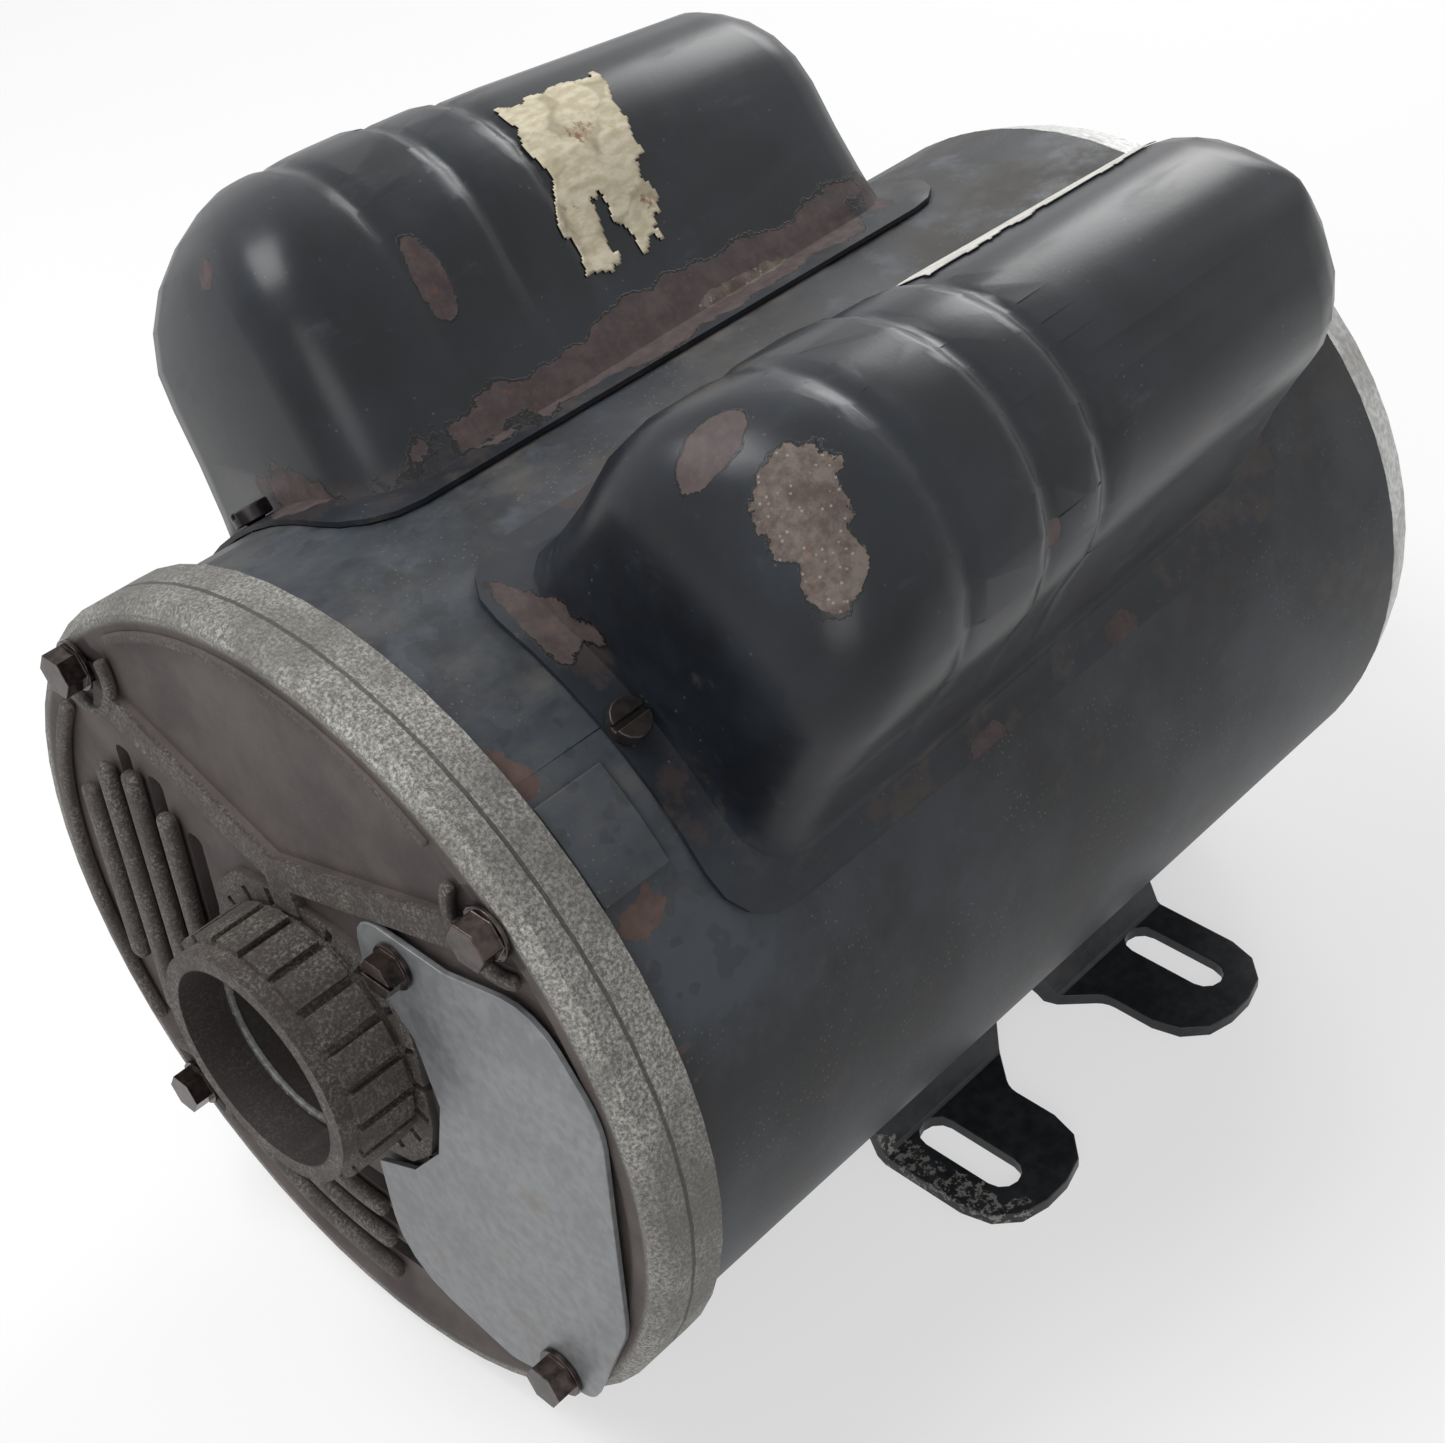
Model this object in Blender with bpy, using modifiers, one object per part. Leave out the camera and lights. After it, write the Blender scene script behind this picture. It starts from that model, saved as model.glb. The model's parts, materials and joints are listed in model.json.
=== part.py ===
"""Fractional horsepower electric motor, 56 frame, drip-proof, with two capacitor covers.

+X runs along the shaft towards the drive end, +Z is up and the feet rest on z = 0.
The origin is the bottom centre of the bounding box. Lengths are metres.
"""
import math

import bmesh
import bpy
from mathutils import Matrix, Vector

# ---------------------------------------------------------------- general fits
GAP = 0.0003
RUNNING_GAP = 0.0005

# ---------------------------------------------------------------- frame
SHAFT_HEIGHT = 0.0889
SHELL_RADIUS = 0.08255
SHELL_THICKNESS = 0.0014
SHELL_LENGTH = 0.2166
REAR_RIM_RADIUS = 0.0855
REAR_RIM_WIDTH = 0.0146
DRIVE_RIM_WIDTH = 0.0112
DRIVE_RIM_TAPER = 0.0041
REAR_HUB_PROJECTION = 0.0170
SPIGOT_DEPTH = 0.0056
SPIGOT_WALL = 0.0034
FACE_RECESS = 0.0010
FACE_THICKNESS = 0.0045

# ---------------------------------------------------------------- shaft and bearings
SHAFT_RADIUS = 0.0079375
SHAFT_EXTENSION = 0.0476
SHAFT_SHOULDER_PROJECTION = 0.0103
JOURNAL_RADIUS = 0.0085
GOVERNOR_SEAT_RADIUS = 0.0095
ROTOR_SEAT_RADIUS = 0.0120
BEARING_OUTER_RADIUS = 0.0200
BEARING_WIDTH = 0.0120
BEARING_RACE = 0.0030
BALL_COUNT = 8
KEY_SIZE = 0.0047625
KEY_LENGTH = 0.0350
REAR_BEARING_DEPTH = 0.0099
DRIVE_BEARING_DEPTH = 0.0110

# ---------------------------------------------------------------- rear end shield
REAR_HUB_RADIUS = 0.0245
REAR_HUB_BORE = 0.0210
REAR_HUB_STEP = 0.0180
REAR_HUB_STEP_DEPTH = 0.0090
REAR_HUB_COLLAR_RADIUS = 0.0262
HUB_GROOVES = 20
HUB_GROOVE_WIDTH = 0.0018
HUB_PAD_SIZE = 0.0560
HUB_PAD_CORNER = 0.0180
RIB_WIDTH = 0.0066
RIB_HEIGHT = 0.0022
HOUSING_WALL = 0.0055
WALL_HOLE_RADIUS = 0.0105
SIDE_SLITS = 4
SIDE_SLIT_WIDTH = 0.0045
SIDE_SLIT_PITCH = 0.0090
SIDE_SLIT_START = 0.0330
LOWER_SLIT_INNER = 0.0420
LOWER_SLIT_WIDTH = 0.0050
LOWER_SLIT_PITCH = 0.0095
LOWER_SLITS = 3
VENT_RADIUS = 0.0715

# ---------------------------------------------------------------- drive end shield
DRIVE_HUB_RADIUS = 0.0255
DRIVE_HUB_PROJECTION = 0.0062
WINDOW_COUNT = 8
WINDOW_INNER = 0.0380
WINDOW_OUTER = 0.0640
WINDOW_SPAN = 26.0

# ---------------------------------------------------------------- through bolts
BOLT_CIRCLE = 0.0784
BOLT_RADIUS = 0.00238
BOLT_HEAD_FLATS = 0.0079
BOLT_HEAD_HEIGHT = 0.0042
BOLT_FLANGE_RADIUS = 0.0052
BOLT_FLANGE_HEIGHT = 0.0009
BOLT_BOSS_RADIUS = 0.0068
BOLT_END_MARGIN = 0.0075
BOLT_ANGLES = (45.0, 135.0, 225.0, 315.0)

# ---------------------------------------------------------------- terminal cover
TERMINAL_COVER_THICKNESS = 0.0012
TERMINAL_COVER_OUTLINE = (
    (-0.0190, 0.0390, 0.0060),
    (-0.0190, 0.0270, 0.0),
    (-0.0295, 0.0148, 0.0),
    (-0.0330, 0.0, 0.0),
    (-0.0295, -0.0148, 0.0),
    (-0.0205, -0.0259, 0.0),
    (-0.0090, -0.0318, 0.0010),
    (-0.0100, -0.0600, 0.0160),
    (-0.0400, -0.0655, 0.0060),
    (-0.0635, -0.0575, 0.0060),
    (-0.0755, -0.0280, 0.0200),
    (-0.0770, 0.0260, 0.0180),
    (-0.0640, 0.0440, 0.0120),
    (-0.0420, 0.0385, 0.0060),
)
TERMINAL_SCREW_AT = (-0.0290, 0.0325)
TERMINAL_OPENING_SCALE = 0.62
BOARD_OUTER_Y = 0.0650
BOARD_LOW_Z = -0.0320
BOARD_HIGH_Z = 0.0260
BOARD_THICKNESS = 0.0030
BOARD_HOUSING_CLEARANCE = 0.0032
SMALL_SCREW_RADIUS = 0.0019

# ---------------------------------------------------------------- base
BASE_SHEET = 0.0030
BASE_LENGTH = 0.1016
BASE_HALF_WIDTH = 0.0850
BASE_CENTRE_FROM_FACE = 0.1453
BASE_TAB_LENGTH = 0.0325
BASE_TAB_CORNER = 0.0130
BASE_BEND_Y = 0.0495
BASE_CREST_Y = 0.0425
BASE_ARCH_TOP_Y = 0.0460
BASE_ARCH_TOP_HALF = 0.0063
SLOT_SPACING = 0.0762
SLOT_CENTRE_Y = 0.06425
SLOT_LENGTH = 0.0255
SLOT_WIDTH = 0.0087

# ---------------------------------------------------------------- capacitor covers
COVER_ANGLE = 35.3
COVER_SHEET = 0.0010
COVER_START = 0.0350
COVER_END = 0.1985
COVER_FLANGE_HALF_ANGLE = 28.4
COVER_FLANGE_CORNER = 0.0140
COVER_NOSE_RADIUS = 0.0312
COVER_NOSE_TOP = 0.1404
COVER_BODY_RADIUS = 0.0300
COVER_BODY_TOP = 0.1396
COVER_STEP_START = 0.0880
COVER_STEP_END = 0.1140
COVER_RADIUS_TAPER = 0.0025
START_COVER_TAPER = 0.0
RUN_COVER_TAPER = 0.0058
COVER_FLARE = 0.0032
COVER_VAULT_SHIFT = 0.0024
COVER_BODY_START = 0.0430
COVER_BODY_END = 0.1915
COVER_WALL_LEAN = 0.0012
COVER_NOSE_DEPTH = 0.0240
COVER_TAIL_DEPTH = 0.0080
COVER_BODY_CORNER = 0.0125
COVER_SCREW_INSET = 0.0034
COVER_SCREW_HEAD = 0.0039
COVER_SCREW_HEAD_HEIGHT = 0.0030
COVER_SCREW_LENGTH = 0.0060
COVER_RIVET_INSET = 0.0031
COVER_RIVET_HEAD = 0.0025
COVER_RIVET_HEAD_HEIGHT = 0.0012
COVER_RIVET_RADIUS = 0.0014
WIRE_HOLE_RADIUS = 0.0070

# ---------------------------------------------------------------- capacitors
START_CAPACITOR_RADIUS = 0.0230
START_CAPACITOR_LENGTH = 0.0980
RUN_CAPACITOR_RADIUS = 0.0215
RUN_CAPACITOR_LENGTH = 0.0900
CAPACITOR_START = 0.0740
CAPACITOR_TERMINAL = 0.0065

# ---------------------------------------------------------------- stator and rotor
CORE_START = 0.0800
CORE_LENGTH = 0.0900
STATOR_BORE = 0.0472
STATOR_SLOTS = 24
STATOR_SLOT_BOTTOM = 0.0620
WINDING_INNER = 0.0505
WINDING_BOLT_CLEARANCE = 0.00252
WINDING_LENGTH = 0.0300
ROTOR_BARS_RING_INNER = 0.0280
ROTOR_RING_LENGTH = 0.0070
ROTOR_FIN_LENGTH = 0.0080
ROTOR_FINS = 8

# ---------------------------------------------------------------- centrifugal switch
GOVERNOR_HUB_START = 0.0440
GOVERNOR_HUB_LENGTH = 0.0125
GOVERNOR_HUB_RADIUS = 0.0195
GOVERNOR_FLANGE_RADIUS = 0.0240
GOVERNOR_FLANGE_WIDTH = 0.0035
COLLAR_START = 0.0300
COLLAR_LENGTH = 0.0080
COLLAR_RADIUS = 0.0210
WEIGHT_INNER = 0.0220
WEIGHT_OUTER = 0.0300
WEIGHT_LENGTH = 0.0122
WEIGHT_SPAN = 70.0
WEIGHT_END_GAP = 0.0008
WEIGHT_PIVOT_INSET = 0.0010
SWITCH_PLATE_THICKNESS = 0.0022
SWITCH_PLATE_RADIUS = 0.0430

# ---------------------------------------------------------------- derived positions
OVERALL_LENGTH = (
    REAR_HUB_PROJECTION
    + REAR_RIM_WIDTH
    + 2.0 * GAP
    + SHELL_LENGTH
    + DRIVE_RIM_WIDTH
    + SHAFT_SHOULDER_PROJECTION
    + SHAFT_EXTENSION
)
X_HUB_FRONT = -OVERALL_LENGTH / 2.0
X_FACE = X_HUB_FRONT + REAR_HUB_PROJECTION
X_SHELL_REAR = X_FACE + REAR_RIM_WIDTH + GAP
X_SHELL_DRIVE = X_SHELL_REAR + SHELL_LENGTH
X_DRIVE_FACE = X_SHELL_DRIVE + GAP + DRIVE_RIM_WIDTH
X_SHOULDER = X_DRIVE_FACE + SHAFT_SHOULDER_PROJECTION
X_SHAFT_END = X_SHOULDER + SHAFT_EXTENSION
X_BASE = X_FACE + BASE_CENTRE_FROM_FACE
X_REAR_BEARING = X_FACE + REAR_BEARING_DEPTH
X_DRIVE_BEARING = X_DRIVE_FACE - DRIVE_BEARING_DEPTH
SHELL_BORE = SHELL_RADIUS - SHELL_THICKNESS
SPIGOT_RADIUS = SHELL_BORE - GAP
BORE_CLEARANCE = BOLT_RADIUS + GAP
BEARING_INNER_RADIUS = JOURNAL_RADIUS + GAP
HOUSING_BORE = BEARING_OUTER_RADIUS + GAP
HOUSING_RADIUS = HOUSING_BORE + HOUSING_WALL
ROTOR_RADIUS = STATOR_BORE - RUNNING_GAP
WINDING_OUTER = BOLT_CIRCLE - BOLT_RADIUS - WINDING_BOLT_CLEARANCE
STATOR_RADIUS = SHELL_BORE - GAP
FLANGE_RADIUS = SHELL_RADIUS + GAP
AXIS = Vector((0.0, 0.0, SHAFT_HEIGHT))

# ---------------------------------------------------------------- scene
for old in list(bpy.data.objects):
    bpy.data.objects.remove(old, do_unlink=True)

MOTOR = bpy.data.collections.new("electric_motor")
CUTTERS = bpy.data.collections.new("cutters")
bpy.context.scene.collection.children.link(MOTOR)
bpy.context.scene.collection.children.link(CUTTERS)


def material(name, colour, roughness, metallic):
    made = bpy.data.materials.new(name)
    made.use_nodes = True
    shader = made.node_tree.nodes["Principled BSDF"]
    shader.inputs["Base Color"].default_value = (*colour, 1.0)
    shader.inputs["Roughness"].default_value = roughness
    shader.inputs["Metallic"].default_value = metallic
    return made


PAINT = material("black_paint", (0.030, 0.032, 0.036), 0.45, 0.0)
COVER_PAINT = material("cover_paint", (0.020, 0.024, 0.032), 0.32, 0.0)
CAST = material("cast_aluminium", (0.200, 0.180, 0.165), 0.60, 0.7)
BRIGHT_CAST = material("machined_aluminium", (0.600, 0.600, 0.590), 0.40, 1.0)
ZINC = material("zinc_plate", (0.290, 0.310, 0.330), 0.42, 0.8)
DARK_STEEL = material("oxidised_steel", (0.110, 0.075, 0.060), 0.42, 0.8)
STEEL = material("bright_steel", (0.550, 0.550, 0.560), 0.28, 1.0)
LAMINATION = material("lamination_steel", (0.180, 0.180, 0.190), 0.50, 0.8)
COPPER = material("enamelled_copper", (0.480, 0.180, 0.070), 0.38, 0.6)
PHENOLIC = material("phenolic", (0.035, 0.030, 0.028), 0.40, 0.0)
CAN = material("capacitor_can", (0.500, 0.510, 0.530), 0.30, 0.9)
BOARD = material("terminal_board", (0.230, 0.100, 0.040), 0.55, 0.0)


def link(name, mesh, skin, collection=MOTOR):
    made = bpy.data.objects.new(name, mesh)
    collection.objects.link(made)
    if skin:
        mesh.materials.clear()
        mesh.materials.append(skin)
    if collection is CUTTERS:
        made.hide_render = True
        made.display_type = "WIRE"
    return made


def smooth(made, angle=35.0):
    made.data.shade_smooth()
    made.data.set_sharp_from_angle(angle=math.radians(angle))
    return made


def boolean(target, tool, operation):
    step = target.modifiers.new(operation.lower(), "BOOLEAN")
    step.operation = operation
    step.object = tool
    step.solver = "EXACT"
    return step


def turned(name, profile, skin, steps=64, collection=MOTOR, about=AXIS):
    """Closed profile of (x, radius) swept about an axis along X."""
    area = 0.0
    for here, following in zip(profile, profile[1:] + profile[:1]):
        area += here[1] * following[0] - following[1] * here[0]
    ordered = list(profile) if area < 0.0 else list(reversed(profile))
    work = bmesh.new()
    corners = [work.verts.new((radius, 0.0, along)) for along, radius in ordered]
    for here, following in zip(corners, corners[1:] + corners[:1]):
        work.edges.new((here, following))
    mesh = bpy.data.meshes.new(name)
    work.to_mesh(mesh)
    work.free()
    made = link(name, mesh, skin, collection)
    sweep = made.modifiers.new("sweep", "SCREW")
    sweep.axis = "Z"
    sweep.steps = steps
    sweep.render_steps = steps
    sweep.use_merge_vertices = True
    sweep.merge_threshold = 0.00001
    made.location = about
    made.rotation_euler = (0.0, math.radians(90.0), 0.0)
    return made


def rod(name, start, end, radius, at=(0.0, 0.0), skin=None, segments=24, collection=MOTOR):
    """Solid cylinder along X; `at` is (y, z) from the shaft axis."""
    work = bmesh.new()
    bmesh.ops.create_cone(
        work,
        cap_ends=True,
        cap_tris=False,
        segments=segments,
        radius1=radius,
        radius2=radius,
        depth=end - start,
    )
    turn = Matrix.Rotation(math.radians(90.0), 4, "Y")
    centre = Vector(((start + end) / 2.0, at[0], at[1])) + AXIS
    work.transform(Matrix.Translation(centre) @ turn)
    mesh = bpy.data.meshes.new(name)
    work.to_mesh(mesh)
    work.free()
    return link(name, mesh, skin, collection)


def block(name, low, high, skin=None, collection=MOTOR):
    """Box between two corners given from the shaft axis."""
    work = bmesh.new()
    bmesh.ops.create_cube(work, size=1.0)
    size = Vector(high) - Vector(low)
    centre = (Vector(high) + Vector(low)) / 2.0 + AXIS
    work.transform(Matrix.Translation(centre) @ Matrix.Diagonal((*size, 1.0)))
    mesh = bpy.data.meshes.new(name)
    work.to_mesh(mesh)
    work.free()
    return link(name, mesh, skin, collection)


def rounded(corners, pieces=3):
    """Outline through (a, b, radius) corners with each corner filleted."""
    outline = []
    count = len(corners)
    for index, (a, b, radius) in enumerate(corners):
        here = Vector((a, b))
        before = (Vector(corners[index - 1][:2]) - here).normalized()
        after = (Vector(corners[(index + 1) % count][:2]) - here).normalized()
        half = before.angle(after) / 2.0
        if radius <= 0.0:
            outline.append((here.x, here.y))
            continue
        reach = radius / math.tan(half)
        centre = here + (before + after).normalized() * (radius / math.sin(half))
        first = here + before * reach - centre
        last = here + after * reach - centre
        sweep = first.angle_signed(last)
        for step in range(pieces + 1):
            turn = -sweep * step / pieces
            spoke = Vector(
                (
                    first.x * math.cos(turn) - first.y * math.sin(turn),
                    first.x * math.sin(turn) + first.y * math.cos(turn),
                )
            )
            outline.append((centre.x + spoke.x, centre.y + spoke.y))
    return outline


def ring_sector(inner, outer, start, end, pieces=8):
    """Outline of a ring sector in (y, z), angles in degrees from +y."""
    outline = []
    for step in range(pieces + 1):
        angle = math.radians(start + (end - start) * step / pieces)
        outline.append((outer * math.cos(angle), outer * math.sin(angle)))
    for step in range(pieces + 1):
        angle = math.radians(end + (start - end) * step / pieces)
        outline.append((inner * math.cos(angle), inner * math.sin(angle)))
    return outline


def circle(radius, at=(0.0, 0.0), pieces=20):
    outline = []
    for step in range(pieces):
        angle = 2.0 * math.pi * step / pieces
        outline.append((at[0] + radius * math.cos(angle), at[1] + radius * math.sin(angle)))
    return outline


def bar(start, end, width):
    """Outline of a straight bar between two points."""
    along = (Vector(end) - Vector(start)).normalized() * (width / 2.0)
    across = Vector((-along.y, along.x))
    low = Vector(start)
    high = Vector(end)
    points = (low - across, high - across, high + across, low + across)
    return [(point.x, point.y) for point in points]


def plate(name, outlines, low, high, along="X", skin=None, collection=MOTOR):
    """Flat plate from closed outlines; along X the outlines are (y, z) from the shaft axis."""
    curve = bpy.data.curves.new(name, "CURVE")
    curve.dimensions = "2D"
    curve.fill_mode = "BOTH"
    curve.extrude = (high - low) / 2.0
    for outline in outlines:
        spline = curve.splines.new("POLY")
        spline.points.add(len(outline) - 1)
        for point, (a, b) in zip(spline.points, outline):
            point.co = (a, b, 0.0, 1.0)
        spline.use_cyclic_u = True
    holder = bpy.data.objects.new(name, curve)
    bpy.context.scene.collection.objects.link(holder)
    bpy.context.view_layer.update()
    graph = bpy.context.evaluated_depsgraph_get()
    mesh = bpy.data.meshes.new_from_object(holder.evaluated_get(graph), depsgraph=graph)
    bpy.data.objects.remove(holder, do_unlink=True)
    bpy.data.curves.remove(curve)
    middle = (low + high) / 2.0
    if along == "X":
        axes = Matrix(((0.0, 0.0, 1.0), (1.0, 0.0, 0.0), (0.0, 1.0, 0.0))).to_4x4()
        place = Matrix.Translation(AXIS + Vector((middle, 0.0, 0.0))) @ axes
    else:
        place = Matrix.Translation(Vector((0.0, 0.0, middle)))
    work = bmesh.new()
    work.from_mesh(mesh)
    bmesh.ops.remove_doubles(work, verts=work.verts, dist=0.000001)
    work.transform(place)
    bmesh.ops.recalc_face_normals(work, faces=work.faces)
    if work.calc_volume(signed=True) < 0.0:
        bmesh.ops.reverse_faces(work, faces=work.faces)
    work.to_mesh(mesh)
    work.free()
    mesh.name = name
    return link(name, mesh, skin, collection)


def polar(radius, angle):
    turn = math.radians(angle)
    return (radius * math.cos(turn), radius * math.sin(turn))


def drilled(target, name, start, end, radius, at):
    boolean(target, rod(name, start, end, radius, at, None, 12, CUTTERS), "DIFFERENCE")


def fused(target, tool):
    boolean(target, tool, "UNION")


# ---------------------------------------------------------------- shell
shell = turned(
    "shell",
    [
        (X_SHELL_REAR, SHELL_BORE),
        (X_SHELL_REAR, SHELL_RADIUS),
        (X_SHELL_DRIVE, SHELL_RADIUS),
        (X_SHELL_DRIVE, SHELL_BORE),
    ],
    PAINT,
    64,
)


def radial(distance, sideways, side):
    """(y, z) from the shaft axis for a point out along a cover's centre line."""
    turn = math.radians(COVER_ANGLE)
    outward = Vector((side * math.sin(turn), math.cos(turn)))
    across = Vector((side * math.cos(turn), -math.sin(turn)))
    point = outward * distance + across * sideways
    return (point.x, point.y)


def radial_rod(name, along, low, high, radius, side, skin=None, segments=20, collection=MOTOR):
    """Solid cylinder standing on the shell along a cover's centre line."""
    turn = math.radians(COVER_ANGLE)
    outward = Vector((0.0, side * math.sin(turn), math.cos(turn)))
    work = bmesh.new()
    bmesh.ops.create_cone(
        work,
        cap_ends=True,
        cap_tris=False,
        segments=segments,
        radius1=radius,
        radius2=radius,
        depth=high - low,
    )
    stand = outward.to_track_quat("Z", "Y").to_matrix().to_4x4()
    centre = AXIS + outward * ((low + high) / 2.0) + Vector((along, 0.0, 0.0))
    work.transform(Matrix.Translation(centre) @ stand)
    mesh = bpy.data.meshes.new(name)
    work.to_mesh(mesh)
    work.free()
    return link(name, mesh, skin, collection)


COVER_FIXINGS = (
    (X_FACE + COVER_START + COVER_SCREW_INSET, SMALL_SCREW_RADIUS),
    (X_FACE + COVER_END - COVER_RIVET_INSET, COVER_RIVET_RADIUS),
)
SIDES = (("start", -1.0), ("run", 1.0))
COVER_TAPERS = {"start": START_COVER_TAPER, "run": RUN_COVER_TAPER}

for cover_name, side in SIDES:
    for order, (along, fixing_radius) in enumerate(COVER_FIXINGS):
        hole = radial_rod(
            f"{cover_name}_fixing_hole_{order}",
            along,
            SHELL_BORE - 0.004,
            SHELL_RADIUS + 0.006,
            fixing_radius + GAP,
            side,
            None,
            12,
            CUTTERS,
        )
        boolean(shell, hole, "DIFFERENCE")
    wire = radial_rod(
        f"{cover_name}_wire_hole",
        X_FACE + COVER_BODY_START + 0.022,
        SHELL_BORE - 0.004,
        SHELL_RADIUS + 0.004,
        WIRE_HOLE_RADIUS,
        side,
        None,
        20,
        CUTTERS,
    )
    boolean(shell, wire, "DIFFERENCE")
smooth(shell)


# ---------------------------------------------------------------- base
def sheet_outline(path, thickness):
    """Outline of a sheet of even thickness laid on the right-hand side of a path."""
    upper = []
    count = len(path)
    for index, point in enumerate(path):
        here = Vector(point)
        normals = []
        if index > 0:
            run = (here - Vector(path[index - 1])).normalized()
            normals.append(Vector((run.y, -run.x)))
        if index < count - 1:
            run = (Vector(path[index + 1]) - here).normalized()
            normals.append(Vector((run.y, -run.x)))
        mean = sum(normals, Vector((0.0, 0.0))).normalized()
        reach = thickness / mean.dot(normals[0])
        upper.append((here.x + mean.x * reach, here.y + mean.y * reach))
    return list(path) + list(reversed(upper))


SADDLE_RADIUS = SHELL_RADIUS + GAP + BASE_SHEET
CREST_ANGLE = math.asin(BASE_CREST_Y / SADDLE_RADIUS)
half_path = [
    (BASE_HALF_WIDTH, -SHAFT_HEIGHT),
    (BASE_BEND_Y + 0.0015, -SHAFT_HEIGHT),
    (BASE_BEND_Y - 0.0008, -SHAFT_HEIGHT + 0.0013),
]
saddle_path = []
SADDLE_STEPS = 10
for step in range(SADDLE_STEPS + 1):
    turn = CREST_ANGLE - 2.0 * CREST_ANGLE * step / SADDLE_STEPS
    saddle_path.append((SADDLE_RADIUS * math.sin(turn), -SADDLE_RADIUS * math.cos(turn)))
base_path = half_path + saddle_path + [(-y, z) for y, z in reversed(half_path)]
base = plate(
    "base_cradle",
    [sheet_outline(base_path, BASE_SHEET)],
    X_BASE - BASE_LENGTH / 2.0,
    X_BASE + BASE_LENGTH / 2.0,
    "X",
    PAINT,
)
INNER_TAB = BASE_LENGTH / 2.0 - BASE_TAB_LENGTH
side_corners = [
    (-BASE_LENGTH / 2.0, BASE_HALF_WIDTH, BASE_TAB_CORNER),
    (-INNER_TAB, BASE_HALF_WIDTH, BASE_TAB_CORNER),
    (-INNER_TAB, BASE_BEND_Y + 0.010, 0.006),
    (-BASE_ARCH_TOP_HALF, BASE_ARCH_TOP_Y, 0.005),
    (BASE_ARCH_TOP_HALF, BASE_ARCH_TOP_Y, 0.005),
    (INNER_TAB, BASE_BEND_Y + 0.010, 0.006),
    (INNER_TAB, BASE_HALF_WIDTH, BASE_TAB_CORNER),
    (BASE_LENGTH / 2.0, BASE_HALF_WIDTH, BASE_TAB_CORNER),
]
other_corners = [(-a, -b, radius) for a, b, radius in side_corners]
plan = [(X_BASE + a, b) for a, b in rounded(side_corners + other_corners)]
trim = plate("base_plan", [plan], -0.005, 0.060, "Z", None, CUTTERS)
boolean(base, trim, "INTERSECT")
for end in (-1.0, 1.0):
    for side in (-1.0, 1.0):
        middle_x = X_BASE + end * SLOT_SPACING / 2.0
        reach = SLOT_LENGTH / 2.0
        half = SLOT_WIDTH / 2.0
        low_y = side * SLOT_CENTRE_Y - reach
        high_y = side * SLOT_CENTRE_Y + reach
        corners = [
            (middle_x - half, low_y, half * 0.98),
            (middle_x + half, low_y, half * 0.98),
            (middle_x + half, high_y, half * 0.98),
            (middle_x - half, high_y, half * 0.98),
        ]
        slot = plate("foot_slot", [rounded(corners)], -0.004, 0.008, "Z", None, CUTTERS)
        boolean(base, slot, "DIFFERENCE")
smooth(base)

# ---------------------------------------------------------------- rear end shield
FACE_X = X_FACE + FACE_RECESS
BACK_X = FACE_X + FACE_THICKNESS
HOUSING_END = X_REAR_BEARING + BEARING_WIDTH + 0.0006
WALL_X = X_REAR_BEARING - 0.0012
rear_shield = turned(
    "rear_end_shield",
    [
        (X_HUB_FRONT, REAR_HUB_BORE),
        (X_HUB_FRONT, REAR_HUB_RADIUS),
        (FACE_X, REAR_HUB_RADIUS),
        (FACE_X, REAR_RIM_RADIUS - 0.0085),
        (X_FACE, REAR_RIM_RADIUS - 0.0065),
        (X_FACE, REAR_RIM_RADIUS - 0.0022),
        (X_FACE + 0.0024, REAR_RIM_RADIUS),
        (X_FACE + REAR_RIM_WIDTH, REAR_RIM_RADIUS),
        (X_FACE + REAR_RIM_WIDTH, SPIGOT_RADIUS),
        (X_SHELL_REAR + SPIGOT_DEPTH, SPIGOT_RADIUS),
        (X_SHELL_REAR + SPIGOT_DEPTH, SPIGOT_RADIUS - SPIGOT_WALL),
        (BACK_X, SPIGOT_RADIUS - SPIGOT_WALL - 0.0010),
        (BACK_X, HOUSING_RADIUS),
        (HOUSING_END, HOUSING_RADIUS),
        (HOUSING_END, HOUSING_BORE),
        (WALL_X, HOUSING_BORE),
        (WALL_X, WALL_HOLE_RADIUS),
        (WALL_X - 0.0040, WALL_HOLE_RADIUS),
        (WALL_X - 0.0040, REAR_HUB_STEP),
        (X_HUB_FRONT + REAR_HUB_STEP_DEPTH, REAR_HUB_STEP),
        (X_HUB_FRONT + REAR_HUB_STEP_DEPTH, REAR_HUB_BORE),
    ],
    CAST,
    56,
)
HALF_PAD = HUB_PAD_SIZE / 2.0
pad_corners = [
    (-HALF_PAD, -HALF_PAD, HUB_PAD_CORNER),
    (HALF_PAD, -HALF_PAD, HUB_PAD_CORNER),
    (HALF_PAD, HALF_PAD, HUB_PAD_CORNER),
    (-HALF_PAD, HALF_PAD, HUB_PAD_CORNER),
]
pad_hole = circle(REAR_HUB_STEP + 0.0030)
pad = plate(
    "hub_pad",
    [rounded(pad_corners), pad_hole],
    FACE_X - 0.0016,
    FACE_X + 0.0010,
    "X",
    None,
    CUTTERS,
)
fused(rear_shield, pad)
collar_ring = turned(
    "hub_collar",
    [
        (X_HUB_FRONT + 0.0035, REAR_HUB_RADIUS - 0.0008),
        (X_HUB_FRONT + 0.0035, REAR_HUB_COLLAR_RADIUS),
        (FACE_X - 0.0030, REAR_HUB_COLLAR_RADIUS),
        (FACE_X - 0.0030, REAR_HUB_RADIUS - 0.0008),
    ],
    None,
    40,
    CUTTERS,
)
fused(rear_shield, collar_ring)
groove_mesh = bmesh.new()
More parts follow.
